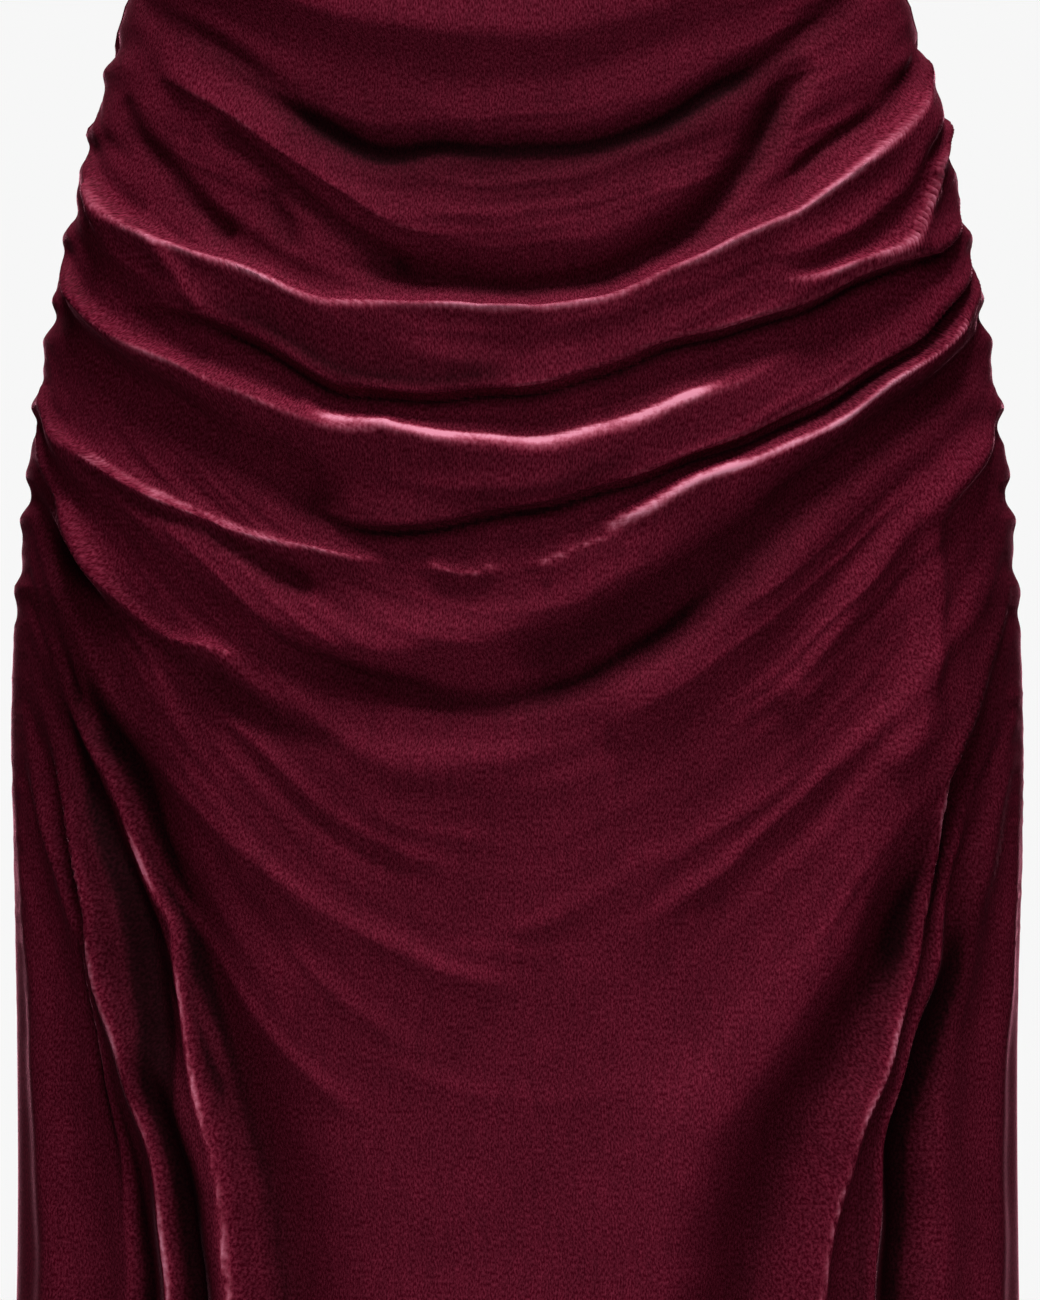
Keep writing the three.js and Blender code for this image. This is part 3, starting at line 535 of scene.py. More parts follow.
def add_folds(group, x, z, field):
    """Add each fold's height to the field's lift and its lean to slide_x and slide_z. Two sine waves
    along the path make it uneven. Flanks narrow by squeeze towards the sides and widen by growth on
    the way down."""
    for number, fold in enumerate(group.folds):
        path = catmull_rom(np.array(fold.path, float) * (1, -1), PATH_STEPS)
        reach = FOLD_REACH * max(fold.upper, fold.lower) * (1 + group.growth)
        near = ((x > path[:, 0].min() - reach) & (x < path[:, 0].max() + reach)
                & (z > path[:, 1].min() - reach) & (z < path[:, 1].max() + reach))
        distance, share, left_x, left_z = nearest_on(path, x[near], z[near])
        grown = 1 + group.growth * share
        size = (1 - group.squeeze * np.minimum(np.abs(x[near]) / SEEN_LIMIT, 1) ** 2) * grown
        fade = ease(share / group.start) * (ease((1 - share) / group.end) if group.end else 1)
        uneven = 1 + sum(ripple(row, share, number) for row in UNEVEN)
        leaned = distance + fold.lean * fade
        height = fade * uneven * crest(leaned, fold.upper * size, fold.lower * size, fold.crisp)
        field.lift[near] += fold.rise * grown * height
        field.slide_x[near] += fold.lean * left_x * height
        field.slide_z[near] += fold.lean * left_z * height
        # Painted highlight: a lighter band along the crest that stands in for light caught on the fold's lip
        if fold.open > 0:
            ragged = 1 - RAGGED_DEPTH * (1 - math.prod(ripple(row, share, number) for row in RAGGED))
            closing = 1 - ease((np.abs(x[near]) - HIGHLIGHT_TO) / HIGHLIGHT_FADES)
            highlight_band = bell(leaned, HIGHLIGHT_ABOVE + HIGHLIGHT_SPREAD * fold.upper,
                       HIGHLIGHT_BELOW + HIGHLIGHT_SPREAD * fold.lower, left_x)
            highlight_band *= fold.open * fade * ragged * closing
            field.open[near] = np.maximum(field.open[near], highlight_band)
        # Painted shade: darker colour over a trough, where shade falls
        elif fold.open < 0:
            field.shut[near] -= fold.open * fade * bell(leaned, fold.upper, fold.lower, left_x)


def bell(distance, above, below, left_x):
    """Bell curve over the distance from a crest, with a width of its own on each side, and wider
    where the path's left points across, which is where it runs steeply."""
    width = np.where(distance > 0, above, below) + HIGHLIGHT_STEEP * np.abs(left_x)
    return np.exp(-(distance / width) ** 2)


def as_seen(side, turn, z):
    """Place on the cloth as seen from in front: across, and height above FOLD_DATUM. Past
    SEEN_TURN the ring is carried on evenly. What lies further back looks nearer the middle."""
    half = look_up(RINGS, "z", "half", z)
    depth = look_up(RINGS, "z", "front" if side < 0 else "back", z)
    shown = np.minimum(np.abs(turn), SEEN_TURN)
    past = np.maximum(np.abs(turn) - SEEN_TURN, 0) * half * math.cos(SEEN_TURN)
    recede = 1 + depth * (1 - np.cos(shown)) / EYE_DISTANCE
    across = np.sign(turn) * (half * np.sin(shown) + past) / recede
    return across, EYE_HEIGHT + (z - EYE_HEIGHT) / recede - FOLD_DATUM


def gather_height(share, z):
    """Puckers that run in from the side seams: sine waves in height, strongest at the seam."""
    total = np.zeros_like(z)
    for gather in GATHERS:
        span = ease((gather.top - z) / GATHER_FADE) * ease((z - gather.low) / GATHER_FADE)
        wave = np.sin(2 * np.pi * z / gather.spacing + gather.sway * np.sin(z / GATHER_SWAY))
        total += gather.rise * span * wave * np.exp(-(1 - np.abs(share)) / gather.reach)
    return total


def soft_noise(u, v, seed):
    """Smooth random field between 0 and 1: random values one apart, blended between neighbours."""
    table = np.random.default_rng(seed).random((NOISE_TABLE, NOISE_TABLE))
    i = np.floor(u).astype(int)
    j = np.floor(v).astype(int)
    s = ease(u - i)
    t = ease(v - j)
    i0, i1 = i % NOISE_TABLE, (i + 1) % NOISE_TABLE
    j0, j1 = j % NOISE_TABLE, (j + 1) % NOISE_TABLE
    low = table[i0, j0] * (1 - s) + table[i1, j0] * s
    high = table[i0, j1] * (1 - s) + table[i1, j1] * s
    return low * (1 - t) + high * t


def crease_height(across, drop, side):
    """Small creases between the main folds. They run along the same swags, which hang as parabolas
    that steepen on the way down, and die out over the hips' centre and below the drag lines."""
    steep = CREASE_SAG + CREASE_SAG_GROWTH * np.clip(drop - CREASE_SAG_FROM, 0, CREASE_SAG_OVER)
    swag = (drop + steep * np.minimum(np.abs(across), CREASE_SAG_REACH) ** 2
            + CREASE_SWAY * np.sin(across / CREASE_SWAY_LENGTH))
    total = np.zeros_like(across)
    for number, crease in enumerate(CREASES):
        seed = NEXT_SEED * number + CREASE_SEED + side
        wave = soft_noise(across / crease.length, swag / crease.width, seed)
        total += crease.rise * (1 - 2 * np.abs(2 * wave - 1) ** CREASE_POINTED)
    where = ease((drop - CREASES_FROM) / CREASES_FADE_IN) * ease((CREASES_TO - drop) / CREASES_FADE_OUT)
    calm = CALM_SHARE * np.exp(-(across / CALM_WIDTH) ** 2) * ease((drop - CALM_FROM) / CALM_OVER)
    return total * where * (1 - calm)


def row_shares(bands):
    """Shares of the way down for the mesh rows, evenly spaced within each band."""
    shares = [np.zeros(1)]
    start = 0
    for band in bands:
        shares.append(np.linspace(start, band.to, band.rows + 1)[1:])
        start = band.to
    return np.concatenate(shares)


def ring_point(side, turn, z, height, slide):
    """Point of an elliptical ring, moved out along the ring's normal and round it by slide."""
    half = look_up(RINGS, "z", "half", z)
    depth = look_up(RINGS, "z", "front" if side < 0 else "back", z)
    x = half * np.sin(turn)
    y = side * depth * np.cos(turn)
    normal_x = x / half ** 2
    normal_y = y / depth ** 2
    length = np.hypot(normal_x, normal_y)
    normal_x = normal_x / length
    normal_y = normal_y / length
    x = x + normal_x * height - side * normal_y * slide
    y = y + normal_y * height + side * normal_x * slide
    return np.stack([x, y + side * SEAM_GAP / 2, z], axis=-1)


def lowest_near(grid, reach):
    """Each value's smallest neighbour within reach rows and columns."""
    padded = np.pad(grid, reach, mode="edge")
    low = grid.copy()
    rows, columns = grid.shape
    for i in range(2 * reach + 1):
        low = np.minimum(low, padded[i:i + rows, reach:reach + columns])
    padded = np.pad(low, reach, mode="edge")
    for j in range(2 * reach + 1):
        low = np.minimum(low, padded[reach:reach + rows, j:j + columns])
    return low


def waves(rows, along, beside):
    """Sum of sine waves along a line, each shifted by the place beside it."""
    return sum(row.size * np.sin(along / row.length + beside / row.beside + row.start) for row in rows)


def lump_height(across, rise):
    """Soft unevenness of the whole cloth: a wave across, bent by the height, times a wave down."""
    bend = LUMP_BEND * np.sin(rise / LUMP_BEND_LENGTH)
    return LUMP * np.sin(across / LUMP_ACROSS + bend) * np.sin(rise / LUMP_DOWN + across / LUMP_SLANT)


def fold_share(size):
    """Share of a fold's height that is left at a share of the way to the side seam."""
    sunk = ease((size - SIDE_FADE_FROM) / (1 - SIDE_FADE_FROM))
    return (1 - (1 - SIDE_FADE_LEAVES) * sunk) * ease((1 - size) / SIDE_END)


def panel_surface(side, edge, bands, groups, sizes):
    """Outer and inner grids of one panel, from side seam to side seam and top edge to hem, with its
    flat layout and its painted light, from 1, painted highlight, to -1, painted shade."""
    even = np.linspace(-1, 1, sizes.columns + 1)
    share, drop = np.meshgrid(even + DENSER * np.sin(2 * np.pi * even), row_shares(bands))
    top = look_up(edge, "at", "z", np.abs(share))
    z = top + (HEM - top) * drop - ROW_SAG * np.sin(np.pi * drop) * (1 - share ** 2)
    turn = share * np.pi / 2
    across, rise = as_seen(side, turn, z)
    across = across + waves(SWAYS, rise, across)
    rise = rise + waves(BOBS, across, rise)
    field = Field(*(np.zeros_like(z) for _ in Field._fields))
    for group in groups:
        add_folds(group, across, rise, field)
    size = np.abs(share)
    keep = fold_share(size)
    height = sizes.deepest * np.tanh(sizes.fold_height * field.lift * keep / sizes.deepest)
    height += gather_height(share, z) + crease_height(across, -rise, side) * keep
    height += lump_height(across, rise) + edge_band(top, z)
    arc = look_up(RINGS, "z", "half", z) * (1 - size) * np.pi / 2
    height -= SEAM_SINK * np.exp(-arc / SEAM_SINK_WIDTH)
    outer = ring_point(side, turn, z + field.slide_z * keep, height, field.slide_x * keep)
    inside = (slice(None, None, INSIDE_STEP), slice(None, None, INSIDE_STEP))
    low = lowest_near(height, INSIDE_REACH)[inside]
    inner = ring_point(side, turn[inside], z[inside], low - sizes.wall, np.zeros_like(low))
    # Painted shade from the folds' troughs and slits, with the seams' dark line, is taken away from the
    # painted highlight
    shut = np.minimum(field.shut + SEAM_DARK * np.exp(-(arc / SEAM_LINE) ** 2), 1)
    return outer, inner, np.stack([across, z], axis=-1), field.open - shut * (1 - field.open)


def edge_band(top, z):
    """Turned edges: the cloth is double, so it stands out a little, down to a soft step."""
    neck = ease((z - (top - NECK_TURN)) / NECK_STEP)
    hem = ease((HEM + HEM_TURN - z) / HEM_STEP)
    return TURN_RISE * (neck + hem)


# Mesh functions

def grid_faces(rows, columns, first, flip):
    """Four-cornered faces of a grid of rows by columns cells whose corners start at first."""
    corner = np.arange(rows * (columns + 1)).reshape(rows, columns + 1)[:, :-1].ravel() + first
    faces = np.stack([corner, corner + columns + 1, corner + columns + 2, corner + 1], axis=1)
    return faces[:, ::-1] if flip else faces


def rim_faces(fine, coarse, flip):
    """Faces that join a fine edge to a coarse one: one for each coarse step."""
    steps = len(coarse) - 1
    each = (len(fine) - 1) // steps
    place = np.arange(steps)[:, None] * each + np.arange(each, -1, -1)
    faces = np.concatenate([coarse[:-1, None], coarse[1:, None], fine[place]], axis=1)
    return faces[:, ::-1] if flip else faces


def shell_mesh(name, outer, inner, flip, cloth, painted_light):
    """Closed shell: outer grid, coarser inner grid, and four rims between them."""
    rows, columns = outer.shape[0] - 1, outer.shape[1] - 1
    in_rows, in_columns = inner.shape[0] - 1, inner.shape[1] - 1
    first = outer.shape[0] * outer.shape[1]
    points = np.concatenate([outer.reshape(-1, 3), inner.reshape(-1, 3)]) * MM
    fine = np.arange(first).reshape(rows + 1, columns + 1)
    coarse = np.arange(inner.shape[0] * inner.shape[1]).reshape(in_rows + 1, in_columns + 1) + first
    faces = [
        *grid_faces(rows, columns, 0, flip).tolist(),
        *grid_faces(in_rows, in_columns, first, not flip).tolist(),
        *rim_faces(fine[0], coarse[0], flip).tolist(),
        *rim_faces(fine[-1], coarse[-1], not flip).tolist(),
        *rim_faces(fine[:, 0], coarse[:, 0], not flip).tolist(),
        *rim_faces(fine[:, -1], coarse[:, -1], flip).tolist(),
    ]
    mesh = bpy.data.meshes.new(name)
    mesh.from_pydata(points.tolist(), [], faces)
    mesh.update()
    lay_out(mesh, np.concatenate([cloth.reshape(-1, 2), cloth[::INSIDE_STEP, ::INSIDE_STEP].reshape(-1, 2)]))
    # Per-point painted light for the velvet's colour: painted highlight above 0, painted shade below 0
    layer = mesh.attributes.new("Parted", "FLOAT", "POINT")
    layer.data.foreach_set("value", np.concatenate([painted_light.ravel(), np.zeros(coarse.size)]))
    return mesh, rows * columns


def lay_out(mesh, flat):
    """Give the mesh its flat layout in millimetres as a UV layer, and smooth shading."""
    corners = np.empty(len(mesh.loops), np.int32)
    mesh.loops.foreach_get("vertex_index", corners)
    layer = mesh.uv_layers.new(name="Cloth")
    layer.data.foreach_set("uv", (flat * MM)[corners].ravel())
    mesh.polygons.foreach_set("use_smooth", np.ones(len(mesh.polygons), bool))


def add_object(name, mesh):
    """Put a mesh into the scene as a piece of the dress."""
    piece = bpy.data.objects.new(name, mesh)
    bpy.context.scene.collection.objects.link(piece)
    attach(piece, BODY)
    return piece


# Finishes

class Finish:
    """A node material, whose nodes are added one by one and linked to the sockets before them."""

    def __init__(self, name):
        self.material = bpy.data.materials.new(name)
        self.material.use_nodes = True
        self.tree = self.material.node_tree
        self.shader = self.tree.nodes["Principled BSDF"]

    def put(self, node, inputs):
        """Link or set a node's inputs."""
        for key, value in inputs.items():
            if isinstance(value, bpy.types.NodeSocket):
                self.tree.links.new(value, node.inputs[key])
            else:
                node.inputs[key].default_value = value

    def add(self, kind, output, inputs, **settings):
        """Add a node and return one of its outputs."""
        node = self.tree.nodes.new(kind)
        for key, value in settings.items():
            setattr(node, key, value)
        self.put(node, inputs)
        return node.outputs[output]

    def calculate(self, operation, *values, clamp=False):
        """Do a sum with one or more values."""
        return self.add("ShaderNodeMath", "Value", dict(enumerate(values)), operation=operation,
                        use_clamp=clamp)

    def stretch(self, value, low, high, to_low, to_high):
        """Stretch the range from low to high to the one from to_low to to_high."""
        return self.add("ShaderNodeMapRange", "Result", {"Value": value, "From Min": low, "From Max": high,
                                                         "To Min": to_low, "To Max": to_high})

    def mix(self, factor, first, second):
        """Mix two colours: the first where the factor is 0, the second where it is 1."""
        first, second = (colour if isinstance(colour, bpy.types.NodeSocket) else (*colour, 1)
                         for colour in (first, second))
        return self.add("ShaderNodeMix", "Result", {"Factor": factor, "A": first, "B": second},
                        data_type="RGBA")

    def bump(self, height, strength, distance):
        """Raise the surface's look by a height, as far as a distance in metres."""
        return self.add("ShaderNodeBump", "Normal", {"Height": height, "Strength": strength,
                                                     "Distance": distance})


def velvet(name, looks, pile):
    """Velvet: a deep ground with specks of nap, faint streaks and brushed areas, painted shade where
    the painted light attribute is below 0, painted highlight in red and then pink where it is above 0,
    and a sheen seen from the side."""
    finish = Finish(name)
    place = finish.add("ShaderNodeUVMap", "UV", {}, uv_map="Cloth")

    def noise(row):
        moved = finish.add("ShaderNodeMapping", "Vector", {"Vector": place, "Scale": (*row.scale, 1)})
        cloud = finish.add("ShaderNodeTexNoise", "Fac", {"Vector": moved, "Scale": 1.0,
                                                         "Detail": row.detail, "Roughness": 0.6})
        return finish.stretch(cloud, row.low, row.high, row.to_low, row.to_high)

    nap, streaks, brushed, specks = (noise(row) for row in (NAP, STREAKS, BRUSHED, SPECKS))
    painted_light = finish.add("ShaderNodeAttribute", "Fac", {}, attribute_name="Parted")
    ground = finish.mix(nap, [c * DEEP_GROUND for c in looks.ground], looks.specks)
    shade = finish.calculate("MULTIPLY", streaks, brushed)
    # Painted shade: the colour darkens where the painted light attribute is below 0, most in the slits
    shade = finish.calculate("MULTIPLY", shade, finish.stretch(painted_light, -1, 0, PAINTED_SHADE, 1))
    shade = finish.calculate("MULTIPLY", shade, finish.stretch(painted_light, -1, PAINTED_SLIT_SHADE_FROM, PAINTED_SLIT_SHADE, 1))
    shaded = finish.add("ShaderNodeVectorMath", "Vector", {0: ground, "Scale": shade}, operation="SCALE")
    # Painted highlight: the colour turns red, then pink, where the painted light attribute is above 0
    spread = finish.calculate("MULTIPLY_ADD", painted_light, PAINTED_LIGHT_SPREAD, specks, clamp=True)
    painted_highlight_edge = finish.mix(spread, shaded, looks.painted_highlight_edge)
    light = finish.calculate("POWER", spread, PAINTED_LIGHT_POWER)
    finish.put(finish.shader, {
        "Base Color": finish.mix(light, painted_highlight_edge, looks.painted_light),
        "Normal": finish.bump(nap, strength=pile, distance=0.00005),
        "Roughness": 0.75,
        "Specular IOR Level": 0.02,
        "Sheen Weight": looks.sheen,
        "Sheen Roughness": looks.sheen_spread,
        "Sheen Tint": (*looks.sheen_tint, 1),
    })
    return finish.material


def reverse_side(looks):
    """The back of the cloth, seen inside: a flat fine knit with little sheen."""
    finish = Finish("knit_reverse")
    place = finish.add("ShaderNodeUVMap", "UV", {}, uv_map="Cloth")
    ribs = finish.add("ShaderNodeTexWave", "Fac", {"Vector": place, "Scale": 260.0, "Distortion": 1.2,
                                                   "Detail": 2.0}, bands_direction="X")
    mottle = finish.add("ShaderNodeTexNoise", "Fac", {"Vector": place, "Scale": 90.0, "Detail": 3.0})
    dark, light = ([min(c * scale, 1) for c in looks.ground] for scale in (0.7, 1.3))
    finish.put(finish.shader, {
        "Base Color": finish.mix(mottle, dark, light),
        "Normal": finish.bump(ribs, strength=0.35, distance=0.0004),
        "Roughness": 0.9,
        "Sheen Weight": 0.25,
        "Sheen Roughness": 0.6,
    })
    return finish.material


# Settings

class DRESS_PG_sizes(bpy.types.PropertyGroup):
    """Sizes of the cloth, in millimetres."""
    wall: FloatProperty(name="Wall", description="Thickness of the cloth with its pile", default=1.8, min=1)
    fold_height: FloatProperty(name="Fold Height", description="Scale of every fold", default=1.0, min=0)
    deepest: FloatProperty(name="Deepest Fold", description="Folds never pass this height", default=20,
                           min=1)
    strap_width: FloatProperty(name="Strap Width", description="Width of a shoulder strap", default=12.4,
                               min=4)
    strap_thickness: FloatProperty(name="Strap Thickness", description="Thickness of a strap", default=2,
                                   min=1)
    columns: IntProperty(name="Columns", description="Columns of a panel's mesh", default=186, min=30)


class DRESS_PG_looks(bpy.types.PropertyGroup):
    """Colours and sheen of the velvet."""
    ground: FloatVectorProperty(name="Ground", description="Colour under the pile", subtype="COLOR",
                                default=(0.072, 0.0008, 0.0085), min=0, max=1)
    specks: FloatVectorProperty(name="Specks", description="Colour of the lightest pile", subtype="COLOR",
                                default=(0.13, 0.012, 0.028), min=0, max=1)
    # Red colour at the edge of the painted highlight
    painted_highlight_edge: FloatVectorProperty(name="PaintedHighlightEdge", description="Colour beside the parted pile",
                                 subtype="COLOR", default=(0.24, 0.014, 0.04), min=0, max=1)
    # Pink colour of the painted highlight at its brightest
    painted_light: FloatVectorProperty(name="Parted", description="Colour of parted pile", subtype="COLOR",
                                default=(0.42, 0.15, 0.21), min=0, max=1)
    sheen_tint: FloatVectorProperty(name="Sheen Tint", description="Colour of light caught by the pile",
                                    subtype="COLOR", default=(1.0, 0.33, 0.46), min=0, max=1)
    sheen: FloatProperty(name="Sheen", description="Strength of the pile's sheen", subtype="FACTOR",
                         default=0.4, min=0, max=1)
    sheen_spread: FloatProperty(name="Sheen Spread", description="How softly the sheen spreads",
                                subtype="FACTOR", default=0.12, min=0, max=1)


class DRESS_PG_studio(bpy.types.PropertyGroup):
    """Camera, floor and light."""
    top_power: FloatProperty(name="Top Light", description="Power of the light overhead", default=425,
                             unit="POWER", min=0)
    back_power: FloatProperty(name="Back Light", description="Power of the light behind", default=120,
                              unit="POWER", min=0)
    key_power: FloatProperty(name="Key Light", description="Power of the light in front", default=66,
                             unit="POWER", min=0)
    distance: FloatProperty(name="Camera Distance", description="From the front of the hips", default=3.0,
                            unit="LENGTH")
    lens: FloatProperty(name="Lens", description="Focal length", default=228.4, unit="CAMERA")


# Pieces

def build_panel(name, node, side, edge, bands, groups):
    """One cut panel as a closed shell, velvet outside and knit inside."""
    sizes = bpy.context.scene.dress_sizes
    looks = bpy.context.scene.dress_looks
    outer, inner, cloth, painted_light = panel_surface(side, edge, bands, groups, sizes)
    mesh, outside = shell_mesh(name, outer, inner, side > 0, cloth, painted_light)
    mesh.materials.append(velvet(name + "_pile", looks, pile=0.55))
    mesh.materials.append(reverse_side(looks))
    slots = np.zeros(len(mesh.polygons), np.int32)
    inside = (inner.shape[0] - 1) * (inner.shape[1] - 1)
    slots[outside:outside + inside] = 1
    mesh.polygons.foreach_set("material_index", slots)
    piece = add_object(name, mesh)
    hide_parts(node)


class DRESS_OT_front(bpy.types.Operator):
    """Build the front panel with its rolls, drag lines and hanging folds"""
    bl_idname = "dress.front"
    bl_label = "Front Panel"

    def execute(self, context):
        build_panel("front_velvet", "front", -1, FRONT_EDGE, FRONT_ROWS, FRONT_GROUPS)
        return {"FINISHED"}


class DRESS_OT_back(bpy.types.Operator):
    """Build the back panel with its own rolls and hanging folds"""
    bl_idname = "dress.back"
    bl_label = "Back Panel"

    def execute(self, context):
        build_panel("back_velvet", "back", 1, BACK_EDGE, BACK_ROWS, BACK_GROUPS)
        return {"FINISHED"}


class DRESS_OT_straps(bpy.types.Operator):
    """Build both shoulder straps as flat velvet bands"""
    bl_idname = "dress.straps"
    bl_label = "Shoulder Straps"

    def execute(self, context):
        looks = context.scene.dress_looks
        finish = velvet("strap_pile", looks, pile=0.5)
        for name, sideways in (("strap_right", -1), ("strap_left", 1)):
            mesh = strap_mesh(name + "_band", sideways, context.scene.dress_sizes)
            mesh.materials.append(finish)
            piece = add_object(name + "_band", mesh)
            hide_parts(name)
        return {"FINISHED"}


def edge_height(edge):
    """Height of a top edge where the strap meets it."""
    return float(next(row.z for row in edge if row.at == STRAP_FROM))


def strap_tilt(side, middle, z):
    """Angle of the ring's face where a strap meets it."""
    half = look_up(RINGS, "z", "half", np.array(z))
    depth = look_up(RINGS, "z", "front" if side < 0 else "back", np.array(z))
    return -side * math.atan2(depth * math.sin(middle), half * math.cos(middle))


def bend_point(end, bend):
    """Point of a bend, from the strap's end that it is measured from."""
    return end[0] * bend.across, end[1] * bend.deep + bend.off, bend.z


def strap_mesh(name, sideways, sizes):
    """Band from the front's top edge over the shoulder to the back's: a rounded flat section
    carried along a smooth curve, with closed ends."""
    middle = sideways * (STRAP_FROM + STRAP_TO) / 2 * np.pi / 2
    front_z = edge_height(FRONT_EDGE)
    in_front = ring_point(-1, np.array(middle), np.array(front_z), 0, 0) + (0, 0, SEAM_GAP)
    behind = ring_point(1, np.array(middle), np.array(edge_height(BACK_EDGE)), 0, 0) + (0, 0, SEAM_GAP)
    route = [in_front, *(bend_point(in_front, bend) for bend in FRONT_BENDS),
             *(bend_point(behind, bend) for bend in BACK_BENDS), behind]
    centre = catmull_rom(np.array(route), STRAP_STEPS)
    way = np.gradient(centre, axis=0)
    way[[0, -1]] = ((0, 0, 1), (0, 0, -1))
    way /= np.linalg.norm(way, axis=1)[:, None]
    share = np.linspace(0, 1, STRAP_STEPS + 1)
    blend = ease(np.minimum(share, 1 - share) / STRAP_TWIST)
    tilts = [strap_tilt(side, middle, front_z) for side in (-1, 1)]
    tilt = np.where(share < 0.5, *tilts) * (1 - blend)
    width = np.stack([np.cos(tilt), np.sin(tilt), np.zeros_like(tilt)], axis=1)
    out = np.cross(width, way)
    out /= np.linalg.norm(out, axis=1)[:, None]
    around = np.linspace(0, 2 * np.pi, STRAP_ROUND, endpoint=False)
    flat = np.sign(np.cos(around)) * np.abs(np.cos(around)) ** STRAP_FLAT * sizes.strap_width / 2
    thick = np.sign(np.sin(around)) * np.abs(np.sin(around)) ** STRAP_SOFT * sizes.strap_thickness / 2
    section = (centre[:, None] + width[:, None] * flat[None, :, None]
               + out[:, None] * (thick - sizes.strap_thickness / 2)[None, :, None])
    corner = np.arange(STRAP_STEPS * STRAP_ROUND).reshape(STRAP_STEPS, STRAP_ROUND)
    beside = np.roll(corner, -1, axis=1)
    faces = np.stack([corner, beside, beside + STRAP_ROUND, corner + STRAP_ROUND], axis=-1)
    faces = faces.reshape(-1, 4).tolist()
    faces.append(np.arange(STRAP_ROUND)[::-1].tolist())
    faces.append((np.arange(STRAP_ROUND) + STRAP_STEPS * STRAP_ROUND).tolist())
    mesh = bpy.data.meshes.new(name)
    mesh.from_pydata((section.reshape(-1, 3) * MM).tolist(), [], faces)
    mesh.update()
    along = np.repeat(share * STRAP_LENGTH, STRAP_ROUND)
    lay_out(mesh, np.stack([np.tile(flat, STRAP_STEPS + 1), along], axis=1))
    return mesh


class DRESS_OT_stage(bpy.types.Operator):
    """Set up the pale floor, the soft studio light and the camera"""
    bl_idname = "dress.stage"
    bl_label = "Studio"

    def execute(self, context):
        studio = context.scene.dress_studio
        add_floor()
        add_world(context.scene)
        for lamp in LAMPS:
            add_light(lamp, getattr(studio, lamp.power))
        add_camera(context.scene, studio)
        context.scene.view_settings.view_transform = "Standard"
        return {"FINISHED"}


def add_floor():
    """A round pale floor just under the hem."""
    turn = np.linspace(0, 2 * np.pi, FLOOR_CORNERS, endpoint=False)
    ring = np.stack([FLOOR_RADIUS * np.cos(turn), FLOOR_RADIUS * np.sin(turn),
                     np.full(FLOOR_CORNERS, HEM * MM - FLOOR_BELOW)], axis=1)
    mesh = bpy.data.meshes.new("floor")
    mesh.from_pydata(ring.tolist(), [], [list(range(FLOOR_CORNERS))])
    finish = Finish("floor_paper")
    finish.put(finish.shader, {"Base Color": (FLOOR_SHADE, FLOOR_SHADE, FLOOR_SHADE, 1), "Roughness": 0.8})
    mesh.materials.append(finish.material)
    floor = bpy.data.objects.new("floor", mesh)
    bpy.context.scene.collection.objects.link(floor)


def add_world(scene):
    """Pale surroundings that light the cloth only weakly."""
    world = bpy.data.worlds.new("studio_world")
    scene.world = world
    world.use_nodes = True
    nodes = world.node_tree.nodes
    links = world.node_tree.links
    plain = nodes["Background"]
    plain.inputs["Color"].default_value = (1, 1, 1, 1)
    plain.inputs["Strength"].default_value = SURROUNDINGS
    seen = nodes.new("ShaderNodeBackground")
    seen.inputs["Color"].default_value = (GROUND_SHADE, GROUND_SHADE, GROUND_SHADE, 1)
    seen.inputs["Strength"].default_value = 1.0
    ray = nodes.new("ShaderNodeLightPath")
    mix = nodes.new("ShaderNodeMixShader")
    links.new(ray.outputs["Is Camera Ray"], mix.inputs["Fac"])
    links.new(plain.outputs["Background"], mix.inputs[1])
    links.new(seen.outputs["Background"], mix.inputs[2])
    links.new(mix.outputs["Shader"], nodes["World Output"].inputs["Surface"])


def aim(spot, place, target):
    """Put a lamp or camera at place, facing target, upright."""
    spot.location = place
    away = np.array(target) - np.array(place)
    flat = math.hypot(away[0], away[1])
    spot.rotation_euler = (math.pi / 2 + math.atan2(away[2], flat), 0, math.atan2(-away[0], away[1]))


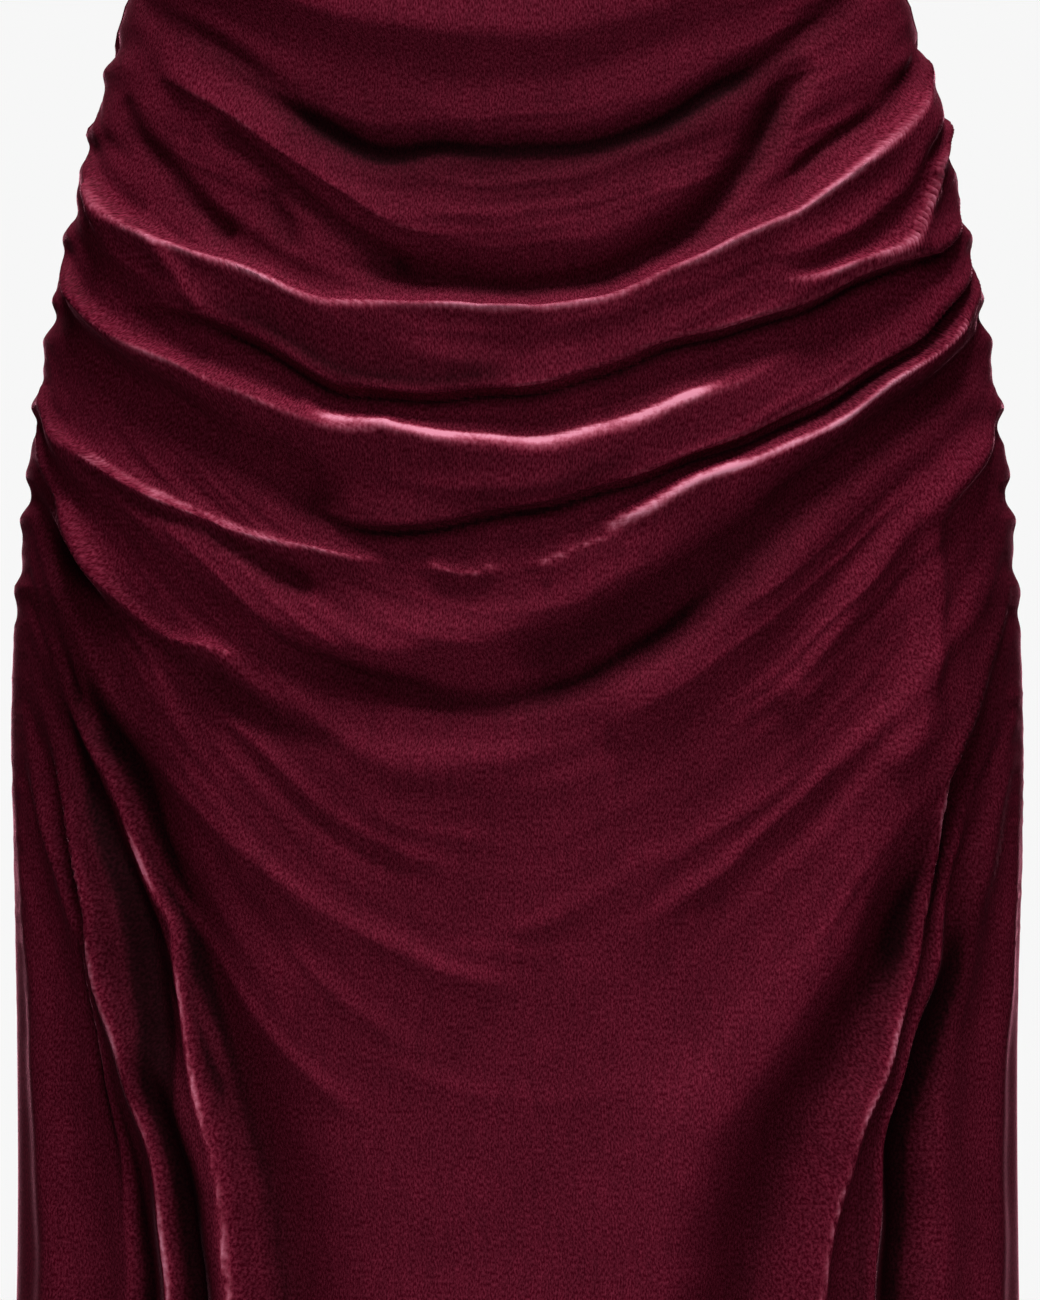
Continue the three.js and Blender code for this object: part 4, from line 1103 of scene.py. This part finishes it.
def add_light(row, power):
    """A square soft light aimed at the dress."""
    lamp = bpy.data.lights.new(row.name, "AREA")
    lamp.size = row.size
    lamp.energy = power
    spot = bpy.data.objects.new(row.name, lamp)
    bpy.context.scene.collection.objects.link(spot)
    aim(spot, row.place, row.target)


def add_camera(scene, studio):
    """A long lens level with the hips, as in the photograph."""
    camera = bpy.data.cameras.new("camera")
    camera.sensor_fit = "VERTICAL"
    camera.sensor_height = 36
    camera.lens = studio.lens
    camera.clip_end = 60
    eye = bpy.data.objects.new("camera", camera)
    scene.collection.objects.link(eye)
    hips = look_up(RINGS, "z", "front", np.array(float(EYE_HEIGHT))) * MM
    place = (CAMERA_ACROSS, -(hips + studio.distance), EYE_HEIGHT * MM)
    aim(eye, place, (CAMERA_ACROSS, 0, EYE_HEIGHT * MM))
    scene.camera = eye


class DRESS_PT_panel(bpy.types.Panel):
    """Sidebar panel that lists the dress's sizes, looks and pieces"""
    bl_idname = "DRESS_PT_panel"
    bl_label = "Ruched Dress"
    bl_space_type = "VIEW_3D"
    bl_region_type = "UI"
    bl_category = "Dress"

    def draw(self, context):
        for group in (context.scene.dress_sizes, context.scene.dress_looks, context.scene.dress_studio):
            box = self.layout.box()
            for name in group.__annotations__:
                box.prop(group, name)
        for operator in OPERATORS:
            self.layout.operator(operator.bl_idname)


OPERATORS = (DRESS_OT_straps, DRESS_OT_front, DRESS_OT_back, DRESS_OT_stage)
CLASSES = (DRESS_PG_sizes, DRESS_PG_looks, DRESS_PG_studio, *OPERATORS, DRESS_PT_panel)


def register():
    for item in CLASSES:
        bpy.utils.register_class(item)
    bpy.types.Scene.dress_sizes = PointerProperty(type=DRESS_PG_sizes)
    bpy.types.Scene.dress_looks = PointerProperty(type=DRESS_PG_looks)
    bpy.types.Scene.dress_studio = PointerProperty(type=DRESS_PG_studio)


def unregister():
    del bpy.types.Scene.dress_studio
    del bpy.types.Scene.dress_looks
    del bpy.types.Scene.dress_sizes
    for item in reversed(CLASSES):
        bpy.utils.unregister_class(item)


def main():
    register()
    bpy.ops.dress.straps()
    bpy.ops.dress.front()
    bpy.ops.dress.back()
    bpy.ops.dress.stage()


if __name__ == "__main__":
    main()
